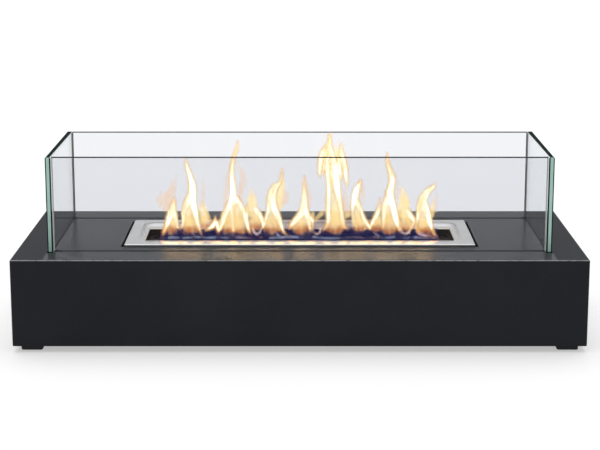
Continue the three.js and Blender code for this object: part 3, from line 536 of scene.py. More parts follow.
# Clear hollows between the legs of the flames, orange below and cream above.
HOLLOW_STRANDS = (
    ((-142, -2, 2.1, 6.3), (-141.5, -0.5, 8, 5.5), (-141.5, 0, 14.5, 3.8), (-141, 0, 20, 2.1)),
    ((-120, 2, 1.2, 8.5), (-121, 2, 9, 7.4), (-121.5, 2, 16.5, 5.9), (-121.5, 2, 25, 3.8),
     (-121, 2, 30.5, 1.5)),
    ((-106, 14, 7.5, 4.2), (-106.5, 9, 15, 3.8), (-107, 8, 21.5, 2.3), (-108, 8, 26, 0.8)),
    ((-78.5, -2, 3, 6.3), (-78.5, -0.5, 10.5, 5.5), (-77.5, 0, 19, 4.2), (-76.5, 0, 27.5, 2.1)),
    ((-67, -2, 3, 6.3), (-67.5, -1, 10.5, 5.9), (-68, 0, 19, 5.1), (-68.5, 0, 26.5, 3.6),
     (-70, 0, 33, 1.3)),
    ((-50.5, 10, 6, 5.9), (-49.5, 8.5, 13, 5.5), (-49, 8, 18.5, 4.7), (-49, 8, 24, 2.1)),
    ((-30, 2, 2.4, 9.5), (-30.5, 2, 10, 7.4), (-31, 2, 17.5, 4.9), (-32, 2, 25, 1.7)),
    ((1, 0, 1.7, 7.4), (2.5, 0, 8, 6.3), (3.5, 0, 14.5, 4.2), (4.5, 0, 20, 1.5)),
    ((39, 4, 5, 8.5), (39.5, 4, 13, 7), (40, 4, 20.5, 5.3), (41, 4, 29, 3.4), (42, 4, 36.5, 1.1)),
    ((66, 6, 5, 5.9), (64.5, 4.5, 12.5, 5.3), (63.5, 4, 20.5, 4.2), (62, 4, 27, 1.7)),
    ((85, 8, 4.5, 4.9), (86, 8, 10, 4.2), (87, 8, 15, 3), (87.5, 8, 19.5, 1.1)),
    ((99, 0, 4, 7), (98.5, 0, 10.5, 5.9), (98, 0, 18, 4.7), (97.5, 0, 25.5, 3.2), (97.5, 0, 32, 1.1)),
    ((118.5, 8, 6.5, 5.3), (118.5, 8, 13, 4.7), (117.5, 8, 18.5, 3.6), (116.5, 8, 24, 1.7)),
    ((137, -6, 3, 7.4), (136, -1.5, 9.5, 5.9), (135.5, 0, 17, 4.2), (135.5, 0, 24.5, 1.5)),
)

# Brownish haze over the back slope of the recess.
HAZE_STRANDS = (
    ((-136, 22, 5, 3), (-112, 20, 7, 5), (-60, 20, 6, 5.5), (0, 20, 7, 5), (64, 20, 6, 5.5),
     (118, 20, 7, 5), (136, 22, 5, 3)),
)

# Pale blue threads along the mouth's front lip.
THREAD_STRANDS = (
    ((-148, -25, 0.4, 0.5), (-139, -25, 1.4, 0.7), (-128, -25, 0.8, 0.6), (-117, -25, 1.9, 0.8),
     (-104, -25, 0.9, 0.6), (-91, -25, 1.7, 0.8), (-80, -25, 0.8, 0.6), (-66, -25, 1.5, 0.7),
     (-52, -25, 0.7, 0.6), (-41, -25, 1.6, 0.7)),
    ((-33, -25, 0.7, 0.5), (-21, -25, 1.6, 0.7), (-9, -25, 2.2, 0.9), (4, -25, 1, 0.6),
     (15, -25, 1.8, 0.7), (28, -25, 0.6, 0.5), (46, -25, 0.7, 0.5), (60, -25, 1.4, 0.7),
     (74, -25, 0.8, 0.6), (86, -25, 1.7, 0.8)),
    ((92, -25, 0.8, 0.6), (104, -25, 1.8, 0.8), (115, -25, 0.9, 0.6), (126, -25, 1.5, 0.7),
     (138, -25, 1, 0.7), (150, -25, 0.6, 0.5)),
    ((-19, -24, 0.5, 0.5), (-24, -21, 3.5, 0.6), (-27.5, -18, 7, 0.4)),
    ((13, -24, 0.6, 0.5), (9.5, -21, 4, 0.6), (8.5, -18, 7, 0.4)),
    ((90, -24, 0.5, 0.5), (84, -21, 3.5, 0.6), (81, -18, 6, 0.4)),
    ((-113, -24, 0.5, 0.5), (-117, -21, 4, 0.6), (-118, -18, 7.5, 0.4)),
)

# Pale curls where a flame lifts off, and a glowing strand on the mouth's back lip that paints its highlight.
CURL_AND_LIP_GLINT_STRANDS = (
    ((-51.5, -14, 9, 0.5), (-50, -15, 5, 0.7), (-47, -15.5, 3, 0.9), (-44, -15, 5, 0.7),
     (-42.5, -14, 9, 0.5)),
    ((12.5, -14, 10, 0.5), (14.5, -15, 5, 0.7), (18, -15.5, 2.6, 0.9), (21.5, -15, 5, 0.7),
     (23, -14, 9, 0.5)),
    ((109.5, -14, 10, 0.5), (111.5, -15, 5, 0.7), (115.5, -15.5, 2.8, 0.9), (119.5, -15, 5, 0.7),
     (121.5, -14, 10, 0.5)),
    ((126, -12, 12, 0.5), (127.5, -15, 7, 0.7), (132, -18, 3.5, 0.8), (139, -21, 2, 0.7),
     (147, -24, 0.8, 0.5)),
    # Painted highlight: a glowing strand along the mouth's back lip.
    ((-132, 28.5, 0.6, 0.4), (-96, 28.5, 1, 0.5), (-52, 28.5, 0.5, 0.4), (-8, 28.5, 1, 0.5),
     (40, 28.5, 0.7, 0.5), (88, 28.5, 1, 0.5), (132, 28.5, 0.5, 0.4)),
)


# ------------------------------------------------------------------ node building


def feed(tree, sockets, sources):
    """Gives each socket a number, a colour or the output that feeds it."""
    for label, source in sources.items():
        if isinstance(source, bpy.types.NodeSocket):
            tree.links.new(source, sockets[label])
        elif hasattr(source, "__len__"):
            sockets[label].default_value = (*source, 1.0)
        else:
            sockets[label].default_value = source


def add_node(tree, kind, inputs=None, **values):
    node = tree.nodes.new(kind)
    for key, value in values.items():
        setattr(node, key, value)
    feed(tree, node.inputs, inputs or {})
    return node


def maths(tree, operation, first, second=0.0, clamp=False):
    values = {0: first, 1: second}
    return add_node(tree, "ShaderNodeMath", values, operation=operation, use_clamp=clamp).outputs[0]


def times(tree, first, *others):
    for other in others:
        first = maths(tree, "MULTIPLY", first, other)
    return first


def plus(tree, first, second, clamp=False):
    return maths(tree, "ADD", first, second, clamp)


def swing(tree, wave, spread):
    """Turns a wave about a half into one about nought, as wide as the spread."""
    return times(tree, maths(tree, "SUBTRACT", wave, 0.5), spread)


def mix_colours(tree, factor, first, second):
    return add_node(tree, "ShaderNodeMix", {0: factor, 6: first, 7: second}, data_type="RGBA").outputs[2]


def mix_numbers(tree, factor, first, second):
    return add_node(tree, "ShaderNodeMix", {0: factor, 2: first, 3: second}).outputs[0]


def span(tree, value, low, high, to_low=0.0, to_high=1.0, kind="SMOOTHSTEP"):
    """Maps a value from one span to another, and holds it at the ends."""
    ends = {"From Min": low, "From Max": high, "To Min": to_low, "To Max": to_high}
    node = add_node(tree, "ShaderNodeMapRange", {"Value": value, **ends}, interpolation_type=kind)
    return node.outputs["Result"]


def noise(tree, vector, scale, detail=2.0, roughness=0.5):
    values = {"Vector": vector, "Scale": scale, "Detail": detail, "Roughness": roughness}
    return add_node(tree, "ShaderNodeTexNoise", values).outputs["Fac"]


def object_place(tree):
    return add_node(tree, "ShaderNodeTexCoord").outputs["Object"]


def along_axes(tree, vector):
    return add_node(tree, "ShaderNodeSeparateXYZ", {0: vector}).outputs


def stretched(tree, vector, x, y, z):
    factors = add_node(tree, "ShaderNodeCombineXYZ", {0: x, 1: y, 2: z}).outputs[0]
    return add_node(tree, "ShaderNodeVectorMath", {0: vector, 1: factors}, operation="MULTIPLY").outputs[0]


def mesh_mask(tree, label):
    """A mask that a piece's mesh carries."""
    return add_node(tree, "ShaderNodeAttribute", attribute_name=label).outputs["Fac"]


def new_group(name, inputs, outputs):
    """A node group and its sockets. Inputs come with their defaults, and three numbers are a colour."""
    tree = bpy.data.node_groups.new(name, "ShaderNodeTree")
    for label, default in inputs.items():
        kind = "NodeSocketColor" if isinstance(default, tuple) else "NodeSocketFloat"
        socket = tree.interface.new_socket(label, in_out="INPUT", socket_type=kind)
        socket.default_value = (*default, 1.0) if isinstance(default, tuple) else default
    for label in outputs:
        kind = "NodeSocketColor" if label == "Colour" else "NodeSocketFloat"
        tree.interface.new_socket(label, in_out="OUTPUT", socket_type=kind)
    return tree, tree.nodes.new("NodeGroupInput").outputs, tree.nodes.new("NodeGroupOutput").inputs


def make_coat_grain():
    """Fine grain of a powder coat, rubber or fibre, with slow smudges and small flecks."""
    inputs = {
        "Colour": (0.5, 0.5, 0.5),
        "Fleck Colour": (0.8, 0.8, 0.8),
        "Fleck Amount": 0.2,
        "Roughness": 0.5,
        "Roughness Spread": 0.1,
        "Grain Size": 0.001,
    }
    tree, given, made = new_group("Coat Grain", inputs, ("Colour", "Roughness", "Height"))
    place = object_place(tree)
    density = maths(tree, "DIVIDE", 1.0, given["Grain Size"])
    grain = noise(tree, place, density, 3.0, 0.6)
    fleck = span(tree, noise(tree, place, times(tree, density, 1.7), 1.0), 0.60, 0.72)
    smudge = noise(tree, place, 14.0, 4.0, 0.6)
    shade = span(tree, smudge, 0.3, 0.7, 0.88, 1.12, "LINEAR")
    scaled = add_node(tree, "ShaderNodeVectorMath", {0: given["Colour"], 3: shade}, operation="SCALE")
    flecked = times(tree, fleck, given["Fleck Amount"])
    results = {
        "Colour": mix_colours(tree, flecked, scaled.outputs[0], given["Fleck Colour"]),
        "Roughness": plus(tree, given["Roughness"], swing(tree, smudge, given["Roughness Spread"]), True),
        "Height": grain,
    }
    feed(tree, made, results)


def make_brushed_grain():
    """Brushing along the length of the piece."""
    inputs = {
        "Colour": (0.6, 0.6, 0.6),
        "Streak Colour": (0.5, 0.5, 0.5),
        "Roughness": 0.25,
        "Roughness Spread": 0.1,
        "Grain Length": 0.03,
        "Grain Width": 0.0004,
    }
    tree, given, made = new_group("Brushed Grain", inputs, ("Colour", "Roughness", "Height"))
    along = maths(tree, "DIVIDE", 1.0, given["Grain Length"])
    across = maths(tree, "DIVIDE", 1.0, given["Grain Width"])
    streak = noise(tree, stretched(tree, object_place(tree), along, across, across), 1.0, 4.0, 0.65)
    cloud = noise(tree, object_place(tree), 22.0, 3.0)
    mixed = plus(tree, times(tree, streak, 0.7), times(tree, cloud, 0.3))
    bright = span(tree, mixed, 0.35, 0.65)
    results = {
        "Colour": mix_colours(tree, bright, given["Streak Colour"], given["Colour"]),
        "Roughness": plus(tree, given["Roughness"], swing(tree, mixed, given["Roughness Spread"]), True),
        "Height": streak,
    }
    feed(tree, made, results)


def make_edge_wear_and_highlight():
    """Rubs the finish thin and paints a highlight where a piece's edge mask says so."""
    inputs = {"Colour": (0.5, 0.5, 0.5), "Worn And Lit Colour": (0.8, 0.8, 0.8), "Amount": 0.5}
    tree, given, made = new_group("Edge Wear And Highlight", inputs, ("Colour", "Mask"))
    patches = span(tree, noise(tree, object_place(tree), 160.0, 4.0, 0.7), 0.30, 0.55, 0.35, 1.0)
    worn_and_lit = times(tree, mesh_mask(tree, "edge"), patches, given["Amount"])
    shown = mix_colours(tree, worn_and_lit, given["Colour"], given["Worn And Lit Colour"])
    feed(tree, made, {"Colour": shown, "Mask": worn_and_lit})


def make_settled_dust():
    """A thin film of dust on faces that look up."""
    inputs = {"Colour": (0.5, 0.5, 0.5), "Dust Colour": (0.3, 0.3, 0.3), "Amount": 0.1}
    tree, given, made = new_group("Settled Dust", inputs, ("Colour", "Mask"))
    normal = add_node(tree, "ShaderNodeNewGeometry").outputs["Normal"]
    up = span(tree, along_axes(tree, normal)["Z"], 0.7, 1.0)
    specks = span(tree, noise(tree, object_place(tree), 700.0, 3.0, 0.7), 0.45, 0.75)
    drift = span(tree, noise(tree, object_place(tree), 9.0, 3.0), 0.3, 0.7, 0.4, 1.0)
    mask = times(tree, specks, drift, up, given["Amount"])
    shown = mix_colours(tree, mask, given["Colour"], given["Dust Colour"])
    feed(tree, made, {"Colour": shown, "Mask": mask})


def make_flame_colours(deck):
    """Runs a flame from its foot through its body to its tip, with streaks and thin patches.

    The tip is where the mesh's own mask says."""
    inputs = {
        "Foot Colour": (0.1, 0.1, 0.4),
        "Low Colour": (0.6, 0.2, 0.1),
        "Body Colour": (1.0, 0.9, 0.5),
        "Tip Colour": (1.0, 0.5, 0.2),
        "Streak Colour": (1.0, 0.5, 0.2),
        "Streak Amount": 0.3,
        "Streak Rise": 0.25,
        "Foot Alpha": 0.3,
        "Body Alpha": 0.8,
        "Tip Alpha": 0.2,
        "Patchiness": 0.3,
        "Low Height": 0.008,
        "Body Height": 0.022,
    }
    tree, given, made = new_group("Flame Colours", inputs, ("Colour", "Alpha"))
    place = object_place(tree)
    height = maths(tree, "SUBTRACT", along_axes(tree, place)["Z"], deck)
    height = plus(tree, height, swing(tree, noise(tree, place, 90.0, 2.0), 14 * MM))
    tip = mesh_mask(tree, "tip")
    low = span(tree, height, 0.0, given["Low Height"])
    body = span(tree, height, given["Low Height"], given["Body Height"])
    shade = mix_colours(tree, low, given["Foot Colour"], given["Low Colour"])
    shade = mix_colours(tree, body, shade, given["Body Colour"])
    shade = mix_colours(tree, tip, shade, given["Tip Colour"])
    drawn = stretched(tree, place, 1.0, 0.6, given["Streak Rise"])
    streak = span(tree, noise(tree, drawn, 300.0, 3.0, 0.55), 0.48, 0.68)
    streak = times(tree, streak, given["Streak Amount"])
    rise = span(tree, height, -1 * MM, given["Body Height"])
    alpha = mix_numbers(tree, rise, given["Foot Alpha"], given["Body Alpha"])
    alpha = mix_numbers(tree, tip, alpha, given["Tip Alpha"])
    patch = span(tree, noise(tree, drawn, 110.0, 2.0), 0.40, 0.62)
    whole = maths(tree, "SUBTRACT", 1.0, times(tree, patch, given["Patchiness"]))
    results = {
        "Colour": mix_colours(tree, streak, shade, given["Streak Colour"]),
        "Alpha": times(tree, alpha, whole),
    }
    feed(tree, made, results)


# ------------------------------------------------------------------ finishes


def new_material(name):
    material = bpy.data.materials.new(name)
    material.use_nodes = True
    return material, material.node_tree, material.node_tree.nodes["Principled BSDF"]


def place_group(tree, group, inputs):
    node = tree.nodes.new("ShaderNodeGroup")
    node.node_tree = bpy.data.node_groups[group]
    feed(tree, node.inputs, inputs)
    return node.outputs


def raise_grain(tree, shader, height, depth):
    bump = add_node(tree, "ShaderNodeBump", {"Height": height, "Strength": 1.0, "Distance": depth})
    tree.links.new(bump.outputs["Normal"], shader.inputs["Normal"])


def coated(
    name, base, fleck, flecks, roughness, spread, grain, depth, wear_and_highlight=0.0, dust=0.0, specular=0.5,
    metallic=0.0, matt=None
):
    """A coated, moulded or fibrous finish, with the size and depth of its grain in millimetres.

    It may be more matt on top beyond a distance each way from the middle."""
    material, tree, shader = new_material(name)
    colours = scene().fireplace_finish
    inputs = {
        "Colour": base,
        "Fleck Colour": fleck,
        "Fleck Amount": flecks,
        "Roughness": roughness,
        "Roughness Spread": spread,
        "Grain Size": grain * MM,
    }
    coat = place_group(tree, "Coat Grain", inputs)
    shown, gloss = coat["Colour"], coat["Roughness"]
    # The edge mask rubs the coat thin and paints a highlight along the housing's folds.
    if wear_and_highlight:
        inputs = {"Colour": shown, "Worn And Lit Colour": colours.coat_worn_and_lit, "Amount": wear_and_highlight}
        shown = place_group(tree, "Edge Wear And Highlight", inputs)["Colour"]
    if dust:
        inputs = {"Colour": shown, "Dust Colour": colours.dust, "Amount": dust}
        shown = place_group(tree, "Settled Dust", inputs)["Colour"]
    if matt:
        reach, level, rougher = matt
        place = along_axes(tree, object_place(tree))
        beyond = span(tree, maths(tree, "ABSOLUTE", place["X"]), reach - 2 * MM, reach + 2 * MM)
        on_top = span(tree, place["Z"], level - 1.0 * MM, level - 0.2 * MM)
        gloss = plus(tree, gloss, times(tree, beyond, on_top, rougher), True)
    inputs = {
        "Base Color": shown,
        "Roughness": gloss,
        "Specular IOR Level": specular,
        "Metallic": metallic,
    }
    feed(tree, shader.inputs, inputs)
    raise_grain(tree, shader, coat["Height"], depth * MM)


def brushed(name, base, streak, roughness, spread, length, width, depth, heated=False):
    """A brushed metal, with the length, width and depth of its streaks in millimetres."""
    material, tree, shader = new_material(name)
    inputs = {
        "Colour": base,
        "Streak Colour": streak,
        "Roughness": roughness,
        "Roughness Spread": spread,
        "Grain Length": length * MM,
        "Grain Width": width * MM,
    }
    metal = place_group(tree, "Brushed Grain", inputs)
    shown, gloss = metal["Colour"], metal["Roughness"]
    shader.inputs["Metallic"].default_value = 1.0
    # A heated finish also gets a painted highlight and painted dark shade on the tray's recess.
    if heated:
        shader.inputs["Anisotropic"].default_value = 0.6
        shown, gloss = heat_tint_and_painted_sheen(tree, shader, shown, gloss)
    feed(tree, shader.inputs, {"Base Color": shown, "Roughness": gloss})
    raise_grain(tree, shader, metal["Height"], depth * MM)


def heat_tint_and_painted_sheen(tree, shader, shown, gloss):
    """Painted shade on the bends and highlight at the back corners, a near-black mouth and a straw tint."""
    colours = scene().fireplace_finish
    mouth = tray_high.z - scene().fireplace_burner.drop
    # On the tray the edge mask paints dark shade on the bends, and its own mask paints a highlight.
    bend = mesh_mask(tree, "edge")
    shown = mix_colours(tree, times(tree, bend, 0.85), shown, colours.steel_bend_shade)
    shown = mix_colours(tree, mesh_mask(tree, "painted_highlight"), shown, colours.steel_painted_highlight)
    gloss = plus(tree, gloss, times(tree, bend, 0.12))
    place = object_place(tree)
    height = along_axes(tree, place)["Z"]
    patch = noise(tree, place, 60.0, 3.0, 0.6)
    heated = times(tree, patch, 0.6, span(tree, height, mouth + 0.7 * MM, mouth))
    shown = mix_colours(tree, heated, shown, colours.straw)
    # Near black down inside the mouth, below its lip.
    ragged = plus(tree, height, swing(tree, patch, 0.8 * MM))
    below_lip = span(tree, ragged, mouth - 0.2 * MM, mouth - 0.8 * MM)
    shown = mix_colours(tree, below_lip, shown, colours.mouth_black)
    tree.links.new(maths(tree, "SUBTRACT", 1.0, below_lip), shader.inputs["Metallic"])
    return shown, plus(tree, gloss, times(tree, below_lip, 0.5), True)


def clear_glass():
    """Clear glass with faint smears. What a long way through it leaves is green."""
    material, tree, shader = new_material("clear glass")
    colours = scene().fireplace_finish
    smear = noise(tree, object_place(tree), 18.0, 4.0, 0.6)
    inputs = {
        "Base Color": colours.glass,
        "Transmission Weight": 1.0,
        "IOR": 1.12,
        "Roughness": span(tree, smear, 0.4, 0.75, 0.0, 0.012),
    }
    feed(tree, shader.inputs, inputs)
    inputs = {"Color": colours.glass_depth, "Density": 10.0}
    depth = add_node(tree, "ShaderNodeVolumeAbsorption", inputs)
    tree.links.new(depth.outputs[0], tree.nodes["Material Output"].inputs["Volume"])


def flame_finish(name, colours, alphas, heights, strength, streak, patchiness, mirrored=1.0):
    """Colours and alphas run from foot to tip, and heights are in millimetres above the deck.

    A streak is its colour, its amount and how far it is drawn out. A reflection is mirrored times as
    bright as the flame."""
    material, tree, shader = new_material(name)
    inputs = dict(zip(("Foot Colour", "Low Colour", "Body Colour", "Tip Colour"), colours))
    inputs |= dict(zip(("Foot Alpha", "Body Alpha", "Tip Alpha"), alphas))
    inputs |= dict(zip(("Low Height", "Body Height"), (height * MM for height in heights)))
    inputs |= dict(zip(("Streak Colour", "Streak Amount", "Streak Rise"), streak))
    gas = place_group(tree, "Flame Colours", {**inputs, "Patchiness": patchiness})
    strength *= scene().fireplace_flames.brightness
    inputs = {
        "Base Color": (0.0, 0.0, 0.0),
        "Roughness": 1.0,
        "Specular IOR Level": 0.0,
        "Emission Color": gas["Colour"],
        "Emission Strength": strength,
        "Alpha": gas["Alpha"],
    }
    feed(tree, shader.inputs, inputs)
    if mirrored > 1.0:
        bounces = add_node(tree, "ShaderNodeLightPath").outputs["Glossy Depth"]
        level = span(tree, bounces, 0.0, 1.0, strength, strength * mirrored, "LINEAR")
        tree.links.new(level, shader.inputs["Emission Strength"])
    material.cycles.emission_sampling = "NONE"


# Colour, flecks, amount of flecks, roughness, its spread, and the size and depth of the grain in mm.
COATINGS = {
    "black zinc": ((0.008, 0.008, 0.009), (0.03, 0.03, 0.028), 0.3, 0.75, 0.2, 0.6, 0.01),
    "black rubber": ((0.012, 0.012, 0.013), (0.04, 0.04, 0.04), 0.2, 0.75, 0.15, 0.7, 0.03),
    "heat tape": ((0.012, 0.012, 0.011), (0.05, 0.05, 0.045), 0.5, 0.9, 0.1, 0.5, 0.06),
    "ceramic fibre": ((0.10, 0.085, 0.07), (0.35, 0.32, 0.28), 0.6, 1.0, 0.1, 1.3, 0.25),
    "bright zinc": ((0.55, 0.56, 0.57), (0.72, 0.70, 0.62), 0.4, 0.35, 0.2, 1.0, 0.01),
    "ground glass": ((0.020, 0.032, 0.029), (0.06, 0.09, 0.08), 0.3, 0.45, 0.2, 1.5, 0.01),
    "grey glass end": ((0.12, 0.135, 0.14), (0.2, 0.23, 0.23), 0.3, 0.3, 0.1, 4.0, 0.01),
    "green glass end": ((0.50, 0.80, 0.70), (0.70, 0.95, 0.85), 0.3, 0.15, 0.1, 4.0, 0.01),
    "pale glass end": ((0.72, 0.80, 0.78), (0.9, 0.95, 0.93), 0.3, 0.15, 0.1, 4.0, 0.01),
    # A pale finish that paints a highlight line on edges of the glass.
    "polished arris": ((0.80, 0.83, 0.82), (0.90, 0.93, 0.92), 0.3, 0.2, 0.1, 3.0, 0.01),
    "bedding tape": ((0.27, 0.27, 0.28), (0.32, 0.32, 0.33), 0.4, 0.8, 0.1, 0.8, 0.03),
}
COATING_EXTRAS = {
    "black zinc": {"specular": 0.0, "metallic": 0.05},
    "black rubber": {"dust": 0.1},
    "ceramic fibre": {"specular": 0.2},
    "bright zinc": {"metallic": 1.0},
    "ground glass": {"specular": 0.0},
    "grey glass end": {"specular": 0.1},
    "bedding tape": {"specular": 0.1},
}
# Solids that no piece replaces, and their finish.
BARE_SOLIDS = {
    "burner_frame": "black zinc",
    "burner_gasket": "heat tape",
    "ceramic_pad": "ceramic fibre",
    **{f"glass_channel_{place}": "black zinc" for place in PLACES},
    **{f"base_bracket_{number}": "black zinc" for number in SIX},
    **{f"pane_seal_{place}": "black rubber" for place in PLACES},
}


class FIREPLACE_OT_finishes(Operator):
    """Makes the finishes and puts them on the solids that stay"""

    bl_idname = "fireplace.finishes"
    bl_label = "Finishes"

    def execute(self, context):
        colours = context.scene.fireplace_finish
        deck = context.scene.fireplace_housing.deck
        make_coat_grain()
        make_brushed_grain()
        make_edge_wear_and_highlight()
        make_settled_dust()
        make_flame_colours(deck)
        coat, matt = (colours.coat, (0.05, 0.05, 0.052)), (right_pane_high.x, deck, 0.32)
        extras = {"wear_and_highlight": 0.9, "dust": 0.05, "specular": 0.06, "matt": matt}
        coated("powder coat", *coat, 0.35, 0.30, 0.08, 1.1, 0.02, **extras)
        for name, values in COATINGS.items():
            coated(name, *values, **COATING_EXTRAS.get(name, {}))
        steel, streak = colours.steel, colours.steel_streak
        brushed("brushed stainless", steel, streak, 0.20, 0.10, 22, 0.35, 0.012, heated=True)
        brushed("tank stainless", (0.42, 0.40, 0.37), (0.30, 0.28, 0.25), 0.34, 0.2, 40, 0.5, 0.02)
        # Near-black steel for the screen under the mouth.
        brushed("sooted steel", (0.035, 0.030, 0.027), (0.015, 0.013, 0.012), 0.6, 0.2, 12, 0.6, 0.02)
        clear_glass()
        self.make_flame_finishes(colours)
        for node, finish in BARE_SOLIDS.items():
            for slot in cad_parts[node].material_slots:
                slot.material = bpy.data.materials[finish]
        return {"FINISHED"}

    def make_flame_finishes(self, colours):
        white, yellow, orange = colours.flame_white, colours.flame_yellow, colours.flame_orange
        brown, blue = colours.flame_brown, colours.flame_blue
        pink, peach, violet = (0.62, 0.26, 0.24), (1.0, 0.66, 0.40), (0.20, 0.17, 0.50)
        lemon, amber, pale = (1.0, 0.93, 0.72), (1.0, 0.70, 0.24), (1.0, 0.80, 0.62)
        frost = (0.80, 0.82, 0.90)
        drawn = 0.22
        heart = (orange, (1.0, 0.86, 0.62), white, lemon)
        flame_finish("flame heart", heart, (0.2, 0.66, 0.4), (3, 9), 4.2, (yellow, 0.5, drawn), 0.5)
        core = (pink, (1.0, 0.62, 0.24), (1.0, 0.90, 0.62), (1.0, 0.78, 0.42))
        flame_finish("flame core", core, (0.1, 0.38, 0.28), (4, 14), 1.45, (yellow, 0.6, drawn), 0.5)
        mantle = (pink, orange, (1.0, 0.79, 0.38), (1.0, 0.66, 0.28))
        flame_finish("flame mantle", mantle, (0.1, 0.30, 0.20), (6, 18), 1.1, (orange, 0.6, drawn), 0.6, 2.0)
        rim = (pink, orange, (1.0, 0.66, 0.30), (0.98, 0.56, 0.28))
        flame_finish("flame rim", rim, (0.05, 0.13, 0.07), (6, 20), 1.0, (brown, 0.4, drawn), 0.8, 5.0)
        halo = (pink, orange, (1.0, 0.61, 0.41), (0.95, 0.55, 0.40))
        flame_finish("flame halo", halo, (0.02, 0.05, 0.03), (8, 24), 1.0, (peach, 0.3, drawn), 0.8, 12.0)
        lick = (pink, orange, amber, yellow)
        flame_finish("flame lick", lick, (0.05, 0.20, 0.08), (8, 20), 1.0, (orange, 0.5, drawn), 0.9)
        wisp = (orange, orange, (1.0, 0.74, 0.28), (1.0, 0.62, 0.28))
        flame_finish("flame wisp", wisp, (0.03, 0.17, 0.05), (8, 24), 1.3, (lemon, 0.6, drawn), 0.5)
        veil = (orange, orange, peach, (0.98, 0.62, 0.42))
        flame_finish("flame veil", veil, (0.0, 0.10, 0.02), (8, 20), 1.1, (orange, 0.4, drawn), 0.5)
        hollow = ((0.02, 0.012, 0.11), (0.46, 0.12, 0.035), (1.0, 0.66, 0.24), (1.0, 0.94, 0.74))
        flame_finish("flame hollow", hollow, (0.32, 0.34, 0.26), (5, 14), 1.2, (orange, 0.5, drawn), 0.4)
        lining = ((0.05, 0.03, 0.12), (0.64, 0.22, 0.06), (1.0, 0.78, 0.38), (1.0, 0.96, 0.80))
        flame_finish("flame lining", lining, (0.12, 0.20, 0.20), (5, 13), 1.35, (yellow, 0.6, drawn), 0.5)
        haze = ((0.16, 0.08, 0.10), (0.25, 0.15, 0.14), (0.30, 0.17, 0.11), (0.4, 0.24, 0.15))
        flame_finish("flame haze", haze, (0.16, 0.13, 0.10), (4, 14), 1.0, (orange, 0.4, drawn), 0.6)
        foot = (blue, (0.010, 0.010, 0.060), (0.09, 0.02, 0.05), brown)
        flame_finish("flame foot", foot, (0.44, 0.36, 0.24), (4, 8), 1.0, (violet, 0.22, 1.5), 0.3)
        curl = ((0.70, 0.50, 0.60), (0.90, 0.66, 0.60), pale, pale)
        flame_finish("flame curl", curl, (0.22, 0.22, 0.16), (4, 8), 1.0, (pink, 0.5, 1.0), 0.9)
        thread = ((0.30, 0.38, 0.58), (0.42, 0.42, 0.62), (0.6, 0.4, 0.5), pink)
        flame_finish("flame thread", thread, (0.15, 0.13, 0.08), (4, 8), 1.0, (frost, 0.6, 0.6), 0.95)


# ------------------------------------------------------------------ housing


